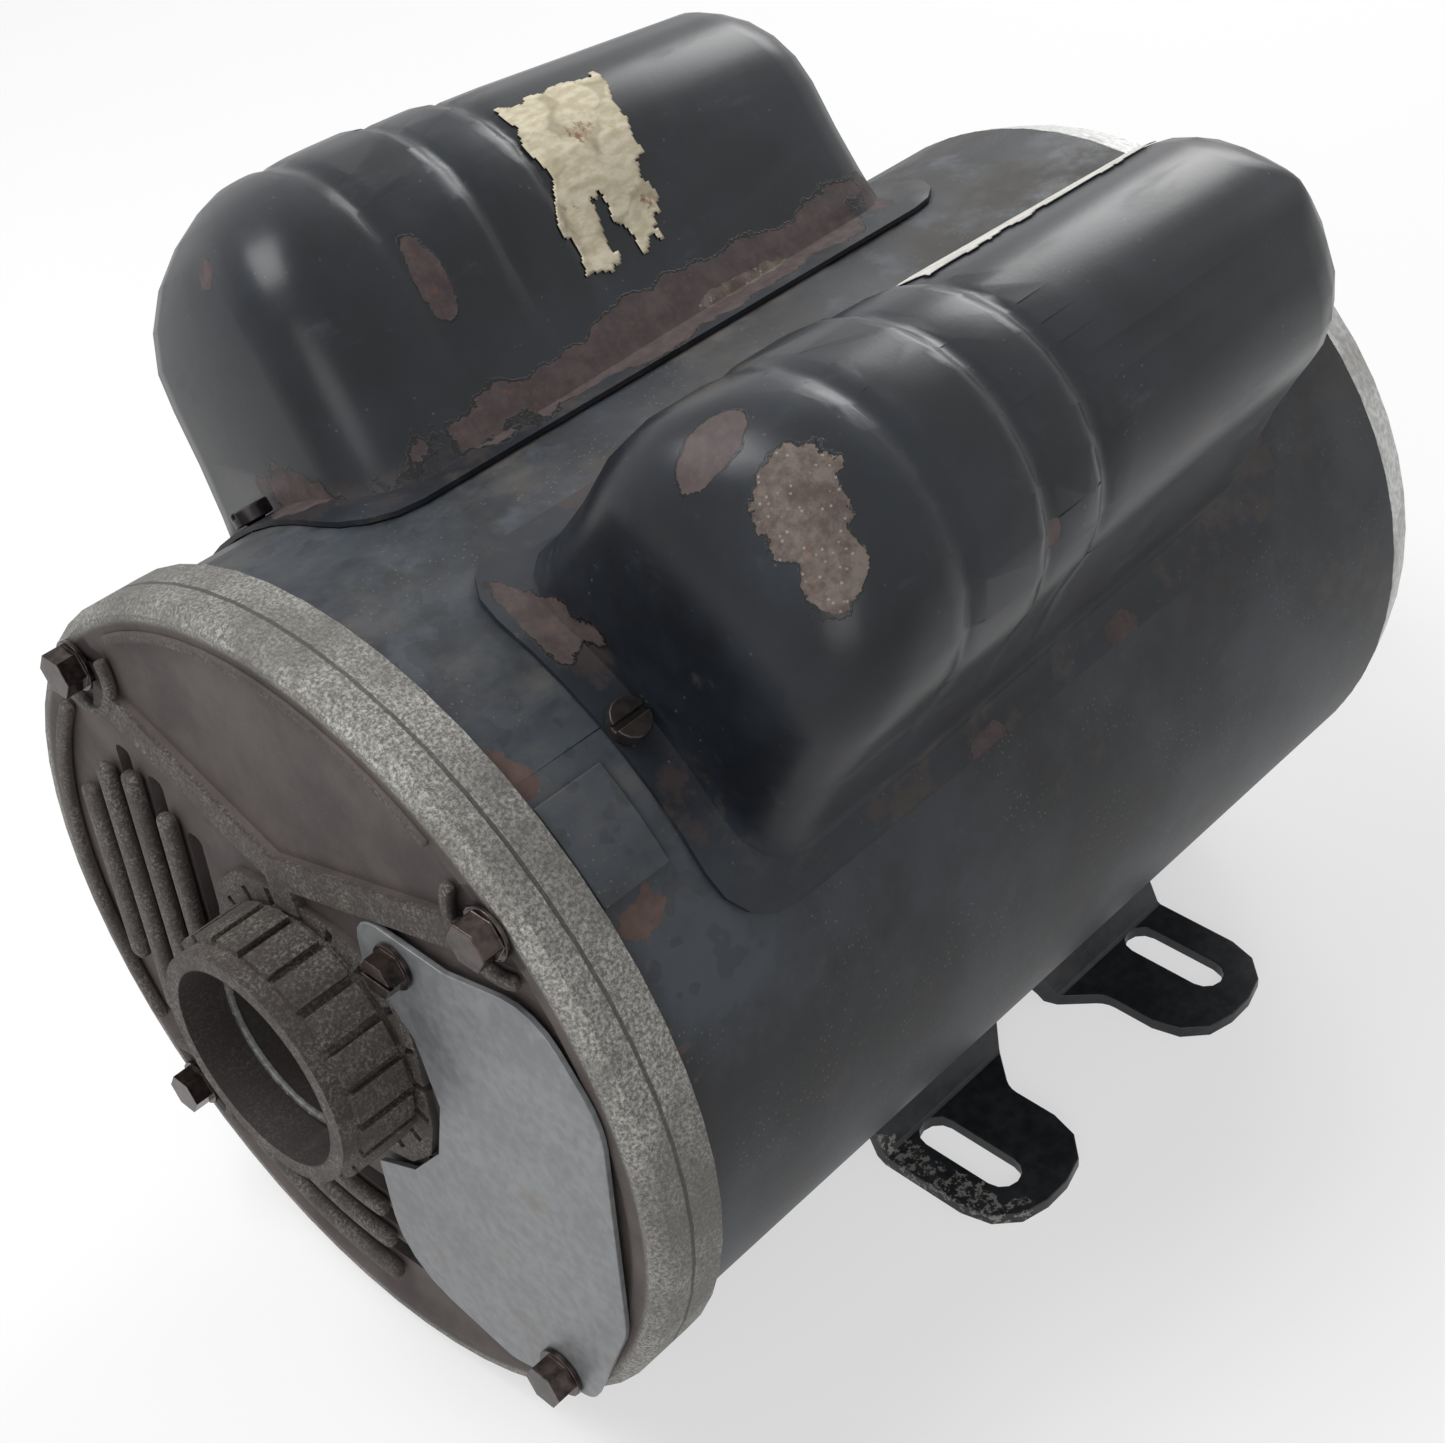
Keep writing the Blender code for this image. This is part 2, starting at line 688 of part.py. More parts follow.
for step in range(HUB_GROOVES):
    made = bmesh.ops.create_cube(groove_mesh, size=1.0)
    size = (REAR_HUB_PROJECTION, 0.0040, HUB_GROOVE_WIDTH)
    shape = Matrix.Diagonal((*size, 1.0))
    shift = Matrix.Translation((X_HUB_FRONT + 0.0115, REAR_HUB_RADIUS + 0.0021, 0.0))
    turn = Matrix.Rotation(2.0 * math.pi * step / HUB_GROOVES, 4, "X")
    place = Matrix.Translation(AXIS) @ turn @ shift @ shape
    bmesh.ops.transform(groove_mesh, matrix=place, verts=made["verts"])
grooves = bpy.data.meshes.new("hub_grooves")
groove_mesh.to_mesh(grooves)
groove_mesh.free()
boolean(rear_shield, link("hub_grooves", grooves, None, CUTTERS), "DIFFERENCE")

JUNCTION = (0.004, 0.0340)
RIBS = (
    (JUNCTION, polar(BOLT_CIRCLE - BOLT_FLANGE_RADIUS - 0.0008, 45.0)),
    (JUNCTION, polar(BOLT_CIRCLE - BOLT_FLANGE_RADIUS - 0.0008, 135.0)),
    ((0.002, 0.0255), JUNCTION),
    (polar(0.0280, 315.0), polar(BOLT_CIRCLE - BOLT_FLANGE_RADIUS - 0.0008, 315.0)),
)
for order, (start, end) in enumerate(RIBS):
    rib = plate(
        f"rear_rib_{order}",
        [bar(start, end, RIB_WIDTH)],
        FACE_X - RIB_HEIGHT,
        FACE_X + 0.0012 + 0.0001 * order,
        "X",
        None,
        CUTTERS,
    )
    fused(rear_shield, rib)
for order, angle in enumerate(BOLT_ANGLES):
    at = polar(BOLT_CIRCLE, angle)
    boss = rod(
        f"rear_boss_{order}",
        X_FACE - 0.0002,
        X_SHELL_REAR + SPIGOT_DEPTH - 0.0005,
        BOLT_BOSS_RADIUS - 0.0030,
        polar(BOLT_CIRCLE - 0.0035, angle),
        None,
        16,
        CUTTERS,
    )
    fused(rear_shield, boss)
for order in range(SIDE_SLITS):
    centre_y = SIDE_SLIT_START + SIDE_SLIT_PITCH * order
    outer_y = centre_y + SIDE_SLIT_WIDTH / 2.0
    reach = math.sqrt(VENT_RADIUS**2 - outer_y**2) * 0.78
    low = -reach
    high = min(reach, outer_y - 0.010)
    corners = [
        (centre_y - SIDE_SLIT_WIDTH / 2.0, low, 0.0015),
        (outer_y, low, 0.0015),
        (outer_y, high, 0.0015),
        (centre_y - SIDE_SLIT_WIDTH / 2.0, high, 0.0015),
    ]
    slit = plate(
        f"side_slit_{order}",
        [rounded(corners, 2)],
        FACE_X - 0.0060,
        BACK_X + 0.0040,
        "X",
        None,
        CUTTERS,
    )
    boolean(rear_shield, slit, "DIFFERENCE")
for order in range(LOWER_SLITS):
    inner = LOWER_SLIT_INNER + LOWER_SLIT_PITCH * order
    margin = math.degrees(0.0090 / inner)
    slit = plate(
        f"lower_slit_{order}",
        [ring_sector(inner, inner + LOWER_SLIT_WIDTH, 225.0 + margin, 315.0 - margin, 6)],
        FACE_X - 0.0060,
        BACK_X + 0.0040,
        "X",
        None,
        CUTTERS,
    )
    boolean(rear_shield, slit, "DIFFERENCE")
cover_centre = (-0.0440, -0.0080)
opening_corners = [
    (
        cover_centre[0] + (a - cover_centre[0]) * TERMINAL_OPENING_SCALE,
        cover_centre[1] + (b - cover_centre[1]) * TERMINAL_OPENING_SCALE,
        radius * TERMINAL_OPENING_SCALE,
    )
    for a, b, radius in TERMINAL_COVER_OUTLINE
]
opening = plate(
    "terminal_opening",
    [rounded(opening_corners, 2)],
    FACE_X - 0.0060,
    BACK_X + 0.0030,
    "X",
    None,
    CUTTERS,
)
boolean(rear_shield, opening, "DIFFERENCE")
terminal_post = rod(
    "terminal_post",
    X_FACE,
    FACE_X + 0.0020,
    0.0042,
    TERMINAL_SCREW_AT,
    None,
    12,
    CUTTERS,
)
fused(rear_shield, terminal_post)
drilled(
    rear_shield,
    "terminal_screw_hole",
    X_FACE - 0.0040,
    FACE_X + 0.0070,
    SMALL_SCREW_RADIUS + GAP,
    TERMINAL_SCREW_AT,
)
for order, angle in enumerate(BOLT_ANGLES):
    drilled(
        rear_shield,
        f"rear_bolt_hole_{order}",
        X_FACE - 0.0060,
        X_SHELL_REAR + SPIGOT_DEPTH + 0.0040,
        BORE_CLEARANCE,
        polar(BOLT_CIRCLE, angle),
    )
smooth(rear_shield)

# ---------------------------------------------------------------- terminal cover
X_COVER_BACK = X_FACE - GAP
X_COVER_FRONT = X_COVER_BACK - TERMINAL_COVER_THICKNESS
terminal_cover = plate(
    "terminal_cover",
    [rounded(TERMINAL_COVER_OUTLINE, 4)],
    X_COVER_FRONT,
    X_COVER_BACK,
    "X",
    ZINC,
)
drilled(
    terminal_cover,
    "terminal_cover_bolt_hole",
    X_FACE - 0.010,
    X_FACE + 0.010,
    BORE_CLEARANCE,
    polar(BOLT_CIRCLE, 225.0),
)
drilled(
    terminal_cover,
    "terminal_cover_screw_hole",
    X_FACE - 0.010,
    X_FACE + 0.010,
    SMALL_SCREW_RADIUS + GAP,
    TERMINAL_SCREW_AT,
)
smooth(terminal_cover)


def hex_bolt(name, seat, end, at, radius, flats, head, flange, flange_height, slotted):
    """Hex washer head screw along X whose head stands in front of `seat`."""
    shank = rod(name, seat - flange_height - head * 0.5, end, radius, at, DARK_STEEL, 12)
    washer = rod(f"{name}_washer", seat - flange_height, seat, flange, at, None, 16, CUTTERS)
    hexagon = rod(
        f"{name}_hexagon",
        seat - flange_height - head,
        seat - flange_height * 0.5,
        flats / math.sqrt(3.0),
        at,
        None,
        6,
        CUTTERS,
    )
    fused(shank, washer)
    fused(shank, hexagon)
    if slotted:
        low = (seat - flange_height - head - 0.001, at[0] - 0.020, at[1] - 0.0005)
        high = (seat - flange_height - head + 0.0011, at[0] + 0.020, at[1] + 0.0005)
        boolean(shank, block(f"{name}_slot", low, high, None, CUTTERS), "DIFFERENCE")
    return smooth(shank)


BOLT_END = X_DRIVE_FACE - BOLT_END_MARGIN
for order, angle in enumerate(BOLT_ANGLES):
    at = polar(BOLT_CIRCLE, angle)
    seat = X_COVER_FRONT - GAP if angle == 225.0 else X_FACE - 0.0002 - GAP
    hex_bolt(
        f"through_bolt_{order + 1}",
        seat,
        BOLT_END,
        at,
        BOLT_RADIUS,
        BOLT_HEAD_FLATS,
        BOLT_HEAD_HEIGHT,
        BOLT_FLANGE_RADIUS,
        BOLT_FLANGE_HEIGHT,
        False,
    )
hex_bolt(
    "terminal_cover_screw",
    X_COVER_FRONT - GAP,
    FACE_X + 0.0055,
    TERMINAL_SCREW_AT,
    SMALL_SCREW_RADIUS,
    0.0070,
    0.0036,
    0.0046,
    0.0008,
    True,
)

# ---------------------------------------------------------------- drive end shield
DRIVE_SEAM = X_SHELL_DRIVE + GAP
DRIVE_HOUSING_REAR = X_DRIVE_BEARING - 0.0006
drive_shield = turned(
    "drive_end_shield",
    [
        (DRIVE_SEAM, SHELL_RADIUS),
        (X_DRIVE_FACE - 0.0015, SHELL_RADIUS - DRIVE_RIM_TAPER + 0.0012),
        (X_DRIVE_FACE, SHELL_RADIUS - DRIVE_RIM_TAPER - 0.0012),
        (X_DRIVE_FACE, DRIVE_HUB_RADIUS + 0.0020),
        (X_DRIVE_FACE + DRIVE_HUB_PROJECTION, DRIVE_HUB_RADIUS),
        (X_DRIVE_FACE + DRIVE_HUB_PROJECTION, JOURNAL_RADIUS + RUNNING_GAP),
        (X_DRIVE_BEARING + BEARING_WIDTH + GAP, JOURNAL_RADIUS + RUNNING_GAP),
        (X_DRIVE_BEARING + BEARING_WIDTH + GAP, HOUSING_BORE),
        (DRIVE_HOUSING_REAR, HOUSING_BORE),
        (DRIVE_HOUSING_REAR, HOUSING_RADIUS),
        (X_DRIVE_FACE - FACE_THICKNESS, HOUSING_RADIUS),
        (X_DRIVE_FACE - FACE_THICKNESS, SHELL_RADIUS - 0.0090),
        (DRIVE_SEAM, SPIGOT_RADIUS - SPIGOT_WALL - 0.0005),
        (DRIVE_SEAM - GAP - SPIGOT_DEPTH, SPIGOT_RADIUS - SPIGOT_WALL),
        (DRIVE_SEAM - GAP - SPIGOT_DEPTH, SPIGOT_RADIUS),
        (DRIVE_SEAM, SPIGOT_RADIUS),
    ],
    BRIGHT_CAST,
    56,
)
for order, angle in enumerate(BOLT_ANGLES):
    boss = rod(
        f"drive_boss_{order}",
        DRIVE_SEAM - GAP - SPIGOT_DEPTH + 0.0004,
        X_DRIVE_FACE - 0.0006,
        0.0058,
        polar(BOLT_CIRCLE - 0.0060, angle),
        None,
        16,
        CUTTERS,
    )
    fused(drive_shield, boss)
    drilled(
        drive_shield,
        f"drive_bolt_hole_{order}",
        DRIVE_SEAM - GAP - SPIGOT_DEPTH - 0.0040,
        BOLT_END + GAP,
        BORE_CLEARANCE,
        polar(BOLT_CIRCLE, angle),
    )
for order in range(WINDOW_COUNT):
    middle = 360.0 * (order + 0.5) / WINDOW_COUNT
    window = plate(
        f"drive_window_{order}",
        [
            ring_sector(
                WINDOW_INNER,
                WINDOW_OUTER,
                middle - WINDOW_SPAN / 2.0,
                middle + WINDOW_SPAN / 2.0,
                5,
            )
        ],
        X_DRIVE_FACE - FACE_THICKNESS - 0.0030,
        X_DRIVE_FACE + 0.0040,
        "X",
        None,
        CUTTERS,
    )
    boolean(drive_shield, window, "DIFFERENCE")
smooth(drive_shield)

# ---------------------------------------------------------------- shaft and key
rotor_start = X_FACE + CORE_START
rotor_end = rotor_start + CORE_LENGTH
shaft_profile = [
    (X_REAR_BEARING - 0.0040, 0.0),
    (X_REAR_BEARING - 0.0040, JOURNAL_RADIUS - 0.0006),
    (X_REAR_BEARING - 0.0034, JOURNAL_RADIUS),
    (X_REAR_BEARING + BEARING_WIDTH + GAP, JOURNAL_RADIUS),
    (X_REAR_BEARING + BEARING_WIDTH + GAP, GOVERNOR_SEAT_RADIUS),
    (rotor_start - ROTOR_RING_LENGTH, GOVERNOR_SEAT_RADIUS),
    (rotor_start - ROTOR_RING_LENGTH, ROTOR_SEAT_RADIUS),
    (rotor_end + ROTOR_RING_LENGTH, ROTOR_SEAT_RADIUS),
    (rotor_end + ROTOR_RING_LENGTH, GOVERNOR_SEAT_RADIUS + 0.0005),
    (X_DRIVE_BEARING - GAP, GOVERNOR_SEAT_RADIUS + 0.0005),
    (X_DRIVE_BEARING - GAP, JOURNAL_RADIUS),
    (X_SHOULDER - 0.0010, JOURNAL_RADIUS),
    (X_SHOULDER, SHAFT_RADIUS),
    (X_SHAFT_END - 0.0012, SHAFT_RADIUS),
    (X_SHAFT_END, SHAFT_RADIUS - 0.0012),
    (X_SHAFT_END, 0.0),
]
shaft = turned("shaft", shaft_profile, STEEL, 32)
X_KEY = X_SHAFT_END - 0.0060 - KEY_LENGTH
KEY_BOTTOM = SHAFT_RADIUS - KEY_SIZE / 2.0
keyway_low = (X_KEY - GAP, -KEY_SIZE / 2.0 - GAP, KEY_BOTTOM - GAP)
keyway_high = (X_KEY + KEY_LENGTH + GAP, KEY_SIZE / 2.0 + GAP, SHAFT_RADIUS + 0.004)
keyway = block("keyway", keyway_low, keyway_high, None, CUTTERS)
boolean(shaft, keyway, "DIFFERENCE")
smooth(shaft)
key_low = (X_KEY, -KEY_SIZE / 2.0, KEY_BOTTOM)
key_high = (X_KEY + KEY_LENGTH, KEY_SIZE / 2.0, KEY_BOTTOM + KEY_SIZE)
block("shaft_key", key_low, key_high, STEEL)


# ---------------------------------------------------------------- ball bearings
def bearing(prefix, start):
    end = start + BEARING_WIDTH
    centre = (start + end) / 2.0
    pitch = (BEARING_INNER_RADIUS + BEARING_OUTER_RADIUS) / 2.0
    ball = pitch - BEARING_INNER_RADIUS - BEARING_RACE + 0.0006
    track = ball + GAP
    outer_land = BEARING_OUTER_RADIUS - BEARING_RACE
    inner_land = BEARING_INNER_RADIUS + BEARING_RACE

    def groove(land):
        rise = abs(land - pitch)
        half = math.sqrt(track**2 - rise**2)
        points = []
        for step in range(5):
            offset = half * (1.0 - 2.0 * step / 4.0)
            depth = math.sqrt(track**2 - offset**2)
            radius = pitch + depth if land > pitch else pitch - depth
            points.append((centre + offset, radius))
        return points

    outer = [(start, outer_land), (start, BEARING_OUTER_RADIUS)]
    outer += [(end, BEARING_OUTER_RADIUS), (end, outer_land)]
    smooth(turned(f"{prefix}_bearing_outer_race", outer + groove(outer_land), STEEL, 32))
    inner = [(start, inner_land), (start, BEARING_INNER_RADIUS)]
    inner += [(end, BEARING_INNER_RADIUS), (end, inner_land)]
    smooth(turned(f"{prefix}_bearing_inner_race", inner + groove(inner_land), STEEL, 28))
    half_cage = 0.0011
    cage = turned(
        f"{prefix}_bearing_balls",
        [
            (centre - half_cage, pitch - 0.0013),
            (centre - half_cage, pitch + 0.0013),
            (centre + half_cage, pitch + 0.0013),
            (centre + half_cage, pitch - 0.0013),
        ],
        STEEL,
        32,
    )
    work = bmesh.new()
    for step in range(BALL_COUNT):
        turn = 2.0 * math.pi * (step + 0.35) / BALL_COUNT
        made = bmesh.ops.create_uvsphere(work, u_segments=8, v_segments=5, radius=ball)
        spot = Vector((centre, pitch * math.cos(turn), pitch * math.sin(turn))) + AXIS
        bmesh.ops.transform(work, matrix=Matrix.Translation(spot), verts=made["verts"])
    balls = bpy.data.meshes.new(f"{prefix}_balls")
    work.to_mesh(balls)
    work.free()
    fused(cage, link(f"{prefix}_ball_set", balls, None, CUTTERS))
    return smooth(cage)


bearing("rear", X_REAR_BEARING)
bearing("drive", X_DRIVE_BEARING)
smooth(
    turned(
        "wave_washer",
        [
            (WALL_X + GAP, BEARING_OUTER_RADIUS - 0.0045),
            (WALL_X + GAP, BEARING_OUTER_RADIUS - 0.0003),
            (X_REAR_BEARING - GAP, BEARING_OUTER_RADIUS - 0.0003),
            (X_REAR_BEARING - GAP, BEARING_OUTER_RADIUS - 0.0045),
        ],
        STEEL,
        32,
    )
)


# ---------------------------------------------------------------- stator
def stator_outline():
    outline = []
    notch = math.degrees((BORE_CLEARANCE + 0.0008) / BOLT_CIRCLE)
    depth = BOLT_CIRCLE - BORE_CLEARANCE - 0.0010
    for corner in BOLT_ANGLES:
        outline.append(polar(STATOR_RADIUS, corner - notch))
        outline.append(polar(depth, corner - notch))
        outline.append(polar(depth, corner + notch))
        outline.append(polar(STATOR_RADIUS, corner + notch))
        for step in range(1, 16):
            angle = corner + notch + (90.0 - 2.0 * notch) * step / 16.0
            outline.append(polar(STATOR_RADIUS, angle))
    return outline


def bore_outline():
    outline = []
    pitch = 360.0 / STATOR_SLOTS
    for order in range(STATOR_SLOTS):
        middle = pitch * order
        outline.append(polar(STATOR_BORE, middle - pitch * 0.34))
        outline.append(polar(STATOR_BORE, middle))
        outline.append(polar(STATOR_BORE, middle + pitch * 0.34))
        outline.append(polar(STATOR_SLOT_BOTTOM, middle + pitch * 0.30))
        outline.append(polar(STATOR_SLOT_BOTTOM, middle + pitch * 0.70))
    return outline


plate(
    "stator_core",
    [stator_outline(), bore_outline()],
    rotor_start,
    rotor_end,
    "X",
    LAMINATION,
)


def winding(name, low, high):
    radius = 0.0045
    corners = [
        (low, WINDING_INNER, radius),
        (high, WINDING_INNER, radius),
        (high, WINDING_OUTER, radius),
        (low, WINDING_OUTER, radius),
    ]
    return smooth(turned(name, rounded(corners, 2), COPPER, 32))


winding("rear_winding", rotor_start - GAP - WINDING_LENGTH, rotor_start - GAP)
winding("drive_winding", rotor_end + GAP, rotor_end + GAP + WINDING_LENGTH)

# ---------------------------------------------------------------- rotor
smooth(
    turned(
        "rotor_core",
        [
            (rotor_start, ROTOR_SEAT_RADIUS + GAP),
            (rotor_start, ROTOR_RADIUS),
            (rotor_end, ROTOR_RADIUS),
            (rotor_end, ROTOR_SEAT_RADIUS + GAP),
        ],
        LAMINATION,
        48,
    )
)


def end_ring(name, seat, direction):
    near = seat + direction * GAP
    far = near + direction * ROTOR_RING_LENGTH
    low = min(near, far)
    high = max(near, far)
    ring = turned(
        name,
        [
            (low, ROTOR_BARS_RING_INNER),
            (low, ROTOR_RADIUS - 0.0010),
            (high, ROTOR_RADIUS - 0.0010),
            (high, ROTOR_BARS_RING_INNER),
        ],
        BRIGHT_CAST,
        36,
    )
    work = bmesh.new()
    fin_length = ROTOR_FIN_LENGTH + ROTOR_RING_LENGTH * 0.5
    centre = far - direction * ROTOR_RING_LENGTH * 0.5 + direction * fin_length / 2.0
    for step in range(ROTOR_FINS):
        made = bmesh.ops.create_cube(work, size=1.0)
        shape = Matrix.Diagonal((fin_length, 0.0110, 0.0028, 1.0))
        shift = Matrix.Translation((centre, ROTOR_RADIUS - 0.0085, 0.0))
        turn = Matrix.Rotation(2.0 * math.pi * step / ROTOR_FINS, 4, "X")
        place = Matrix.Translation(AXIS) @ turn @ shift @ shape
        bmesh.ops.transform(work, matrix=place, verts=made["verts"])
    fins = bpy.data.meshes.new(f"{name}_fins")
    work.to_mesh(fins)
    work.free()
    fused(ring, link(f"{name}_fins", fins, None, CUTTERS))
    return smooth(ring)


end_ring("rotor_rear_end_ring", rotor_start, -1.0)
end_ring("rotor_drive_end_ring", rotor_end, 1.0)

# ---------------------------------------------------------------- centrifugal switch
hub_low = X_FACE + GOVERNOR_HUB_START
hub_high = hub_low + GOVERNOR_HUB_LENGTH
flange_low = hub_high - GOVERNOR_FLANGE_WIDTH
seat_radius = GOVERNOR_SEAT_RADIUS + GAP
smooth(
    turned(
        "governor_hub",
        [
            (hub_low, seat_radius),
            (hub_low, GOVERNOR_HUB_RADIUS),
            (flange_low, GOVERNOR_HUB_RADIUS),
            (flange_low, GOVERNOR_FLANGE_RADIUS),
            (hub_high, GOVERNOR_FLANGE_RADIUS),
            (hub_high, seat_radius),
        ],
        DARK_STEEL,
        32,
    )
)
collar_low = X_FACE + COLLAR_START
collar_high = collar_low + COLLAR_LENGTH
smooth(
    turned(
        "governor_collar",
        [
            (collar_low, seat_radius),
            (collar_low, COLLAR_RADIUS),
            (collar_low + 0.0022, COLLAR_RADIUS),
            (collar_low + 0.0022, COLLAR_RADIUS - 0.0050),
            (collar_high, COLLAR_RADIUS - 0.0050),
            (collar_high, seat_radius),
        ],
        PHENOLIC,
        32,
    )
)
weight_high = flange_low - WEIGHT_END_GAP
for order, middle in enumerate((90.0, 270.0)):
    weight = plate(
        f"governor_weight_{order + 1}",
        [
            ring_sector(
                WEIGHT_INNER,
                WEIGHT_OUTER,
                middle - WEIGHT_SPAN / 2.0,
                middle + WEIGHT_SPAN / 2.0,
                8,
            )
        ],
        weight_high - WEIGHT_LENGTH,
        weight_high,
        "X",
        DARK_STEEL,
    )
    pivot = AXIS + Vector((flange_low + WEIGHT_PIVOT_INSET, 0.0, 0.0))
    pivot.z += WEIGHT_INNER * (1.0 if order == 0 else -1.0)
    weight.data.transform(Matrix.Translation(-pivot))
    weight.location = pivot
    smooth(weight)

switch_low = HOUSING_END + GAP
switch_high = switch_low + SWITCH_PLATE_THICKNESS
switch_plate = plate(
    "stationary_switch",
    [
        ring_sector(HOUSING_BORE + 0.0020, SWITCH_PLATE_RADIUS, -60.0, 240.0, 28),
    ],
    switch_low,
    switch_high,
    "X",
    PHENOLIC,
)
contact_block = block(
    "switch_contact_block",
    (switch_high - 0.0005, -0.0090, 0.0230),
    (switch_high + 0.0065, 0.0090, 0.0400),
    None,
    CUTTERS,
)
fused(switch_plate, contact_block)
smooth(switch_plate)

board = block(
    "terminal_board",
    (BACK_X + GAP, -BOARD_OUTER_Y, BOARD_LOW_Z),
    (BACK_X + GAP + BOARD_THICKNESS, -HOUSING_RADIUS - BOARD_HOUSING_CLEARANCE, BOARD_HIGH_Z),
    BOARD,
)
for order in range(4):
    low_z = -0.0270 + 0.0120 * order
    tab = block(
        f"terminal_tab_{order}",
        (FACE_X + 0.0010, -0.0500, low_z),
        (BACK_X + 0.0020, -0.0440, low_z + 0.0009),
        None,
        CUTTERS,
    )
    fused(board, tab)


# ---------------------------------------------------------------- capacitor covers
def ease(value):
    value = max(0.0, min(1.0, value))
    return value * value * (3.0 - 2.0 * value)


def plan_loop(low, high, half, corner, along=8, across=7, turn=4):
    """Rounded rectangle as (x, share of the half width) pairs, counter-clockwise."""
    corner = min(corner, half * 0.999)
    centres = (
        (high - corner, half - corner, 0.0),
        (low + corner, half - corner, 90.0),
        (low + corner, corner - half, 180.0),
        (high - corner, corner - half, 270.0),
    )
    points = []
    for order, (cx, ct, start) in enumerate(centres):
        for step in range(turn + 1):
            angle = math.radians(start + 90.0 * step / turn)
            points.append((cx + corner * math.cos(angle), ct + corner * math.sin(angle)))
        nx, nt, follow = centres[(order + 1) % 4]
        first = points[-1]
        opening = math.radians(follow)
        last = (nx + corner * math.cos(opening), nt + corner * math.sin(opening))
        pieces = along if order % 2 == 0 else across
        for step in range(1, pieces):
            share = step / pieces
            points.append(
                (
                    first[0] + (last[0] - first[0]) * share,
                    first[1] + (last[1] - first[1]) * share,
                )
            )
    return [(x, t / half) for x, t in points]


FLANGE_LEVELS = (0.0, 0.5)
WALL_LEVELS = (0.0, 0.10, 0.25, 0.60, 1.0)
ARC_LEVELS = (14.0, 28.0, 42.0, 56.0, 70.0, 81.0, 90.0)


def step_share(x):
    return ease((x - COVER_STEP_START) / (COVER_STEP_END - COVER_STEP_START))


def taper_share(x):
    return max(0.0, x - COVER_STEP_END) / (COVER_BODY_END - COVER_STEP_END)


def vault_radius(x):
    body = COVER_BODY_RADIUS - COVER_RADIUS_TAPER * taper_share(x)
    return COVER_NOSE_RADIUS + (body - COVER_NOSE_RADIUS) * step_share(x)


def vault_top(x, taper):
    body = COVER_BODY_TOP - taper * taper_share(x)
    return COVER_NOSE_TOP + (body - COVER_NOSE_TOP) * step_share(x)


def cover(name, side, taper):
    """Drawn steel cover lofted from its flange on the shell to the ridge of its vault."""
    work = bmesh.new()
    loops = []
    outer_radius = FLANGE_RADIUS + COVER_SHEET
    flange_half = outer_radius * math.radians(COVER_FLANGE_HALF_ANGLE)
    body_half = COVER_BODY_RADIUS + COVER_FLARE
    for share_in in FLANGE_LEVELS:
        low = COVER_START + (COVER_BODY_START - COVER_START) * share_in
        high = COVER_END + (COVER_BODY_END - COVER_END) * share_in
        half = flange_half + (body_half - flange_half) * share_in
        corner = COVER_FLANGE_CORNER + (COVER_BODY_CORNER - COVER_FLANGE_CORNER) * share_in
        ring = []
        for x, share in plan_loop(low, high, half, corner):
            turn = half / outer_radius * share
            ring.append((x, outer_radius * math.sin(turn), outer_radius * math.cos(turn)))
        loops.append(ring)
    for level in WALL_LEVELS:
        low = COVER_BODY_START + COVER_WALL_LEAN * level
        high = COVER_BODY_END + COVER_WALL_LEAN * level
        flare = COVER_FLARE * (1.0 - level) ** 3
        ring = []
        for x, share in plan_loop(low, high, COVER_BODY_RADIUS + flare, COVER_BODY_CORNER):
            t = share * (vault_radius(x) + flare) - COVER_VAULT_SHIFT * level
            foot = math.sqrt(outer_radius**2 - t**2)
            spring = vault_top(x, taper) - vault_radius(x)
            ring.append((x, t, foot + (spring - foot) * level))
        loops.append(ring)
    for angle in ARC_LEVELS:
        lift = math.sin(math.radians(angle))
        shrink = math.cos(math.radians(angle))
        lean = 1.0 - shrink
        low = COVER_BODY_START + COVER_WALL_LEAN + COVER_NOSE_DEPTH * lean
        high = COVER_BODY_END + COVER_WALL_LEAN - COVER_TAIL_DEPTH * lean
        half = max(COVER_BODY_RADIUS * shrink, 0.0000001)
        ring = []
        for x, share in plan_loop(low, high, half, COVER_BODY_CORNER):
            radius = vault_radius(x)
            spring = vault_top(x, taper) - radius
            t = share * radius * shrink - COVER_VAULT_SHIFT
            ring.append((x, t, spring + radius * lift))
        loops.append(ring)
    rows = []
    for ring in loops:
        row = []
        for x, t, n in ring:
            y, z = radial(n, t, side)
            row.append(work.verts.new((X_FACE + x, y, z + SHAFT_HEIGHT)))
        rows.append(row)
    for lower, upper in zip(rows, rows[1:]):
        count = len(lower)
        for index in range(count):
            following = (index + 1) % count
            work.faces.new((lower[index], lower[following], upper[following], upper[index]))
    bmesh.ops.remove_doubles(work, verts=work.verts, dist=0.00002)
    bmesh.ops.dissolve_degenerate(work, edges=work.edges, dist=0.00001)
    if side < 0.0:
        bmesh.ops.reverse_faces(work, faces=work.faces)
    mesh = bpy.data.meshes.new(name)
    work.to_mesh(mesh)
    work.free()
    made = link(name, mesh, COVER_PAINT)
    sheet = made.modifiers.new("sheet", "SOLIDIFY")
    sheet.thickness = COVER_SHEET
    sheet.offset = -1.0
    sheet.use_even_offset = True
    for order, (along, fixing_radius) in enumerate(COVER_FIXINGS):
        hole = radial_rod(
            f"{name}_hole_{order}",
            along,
            SHELL_BORE,
            SHELL_RADIUS + 0.006,
            fixing_radius + GAP,
            side,
            None,
            12,
            CUTTERS,
        )
        boolean(made, hole, "DIFFERENCE")
    return smooth(made, 50.0)


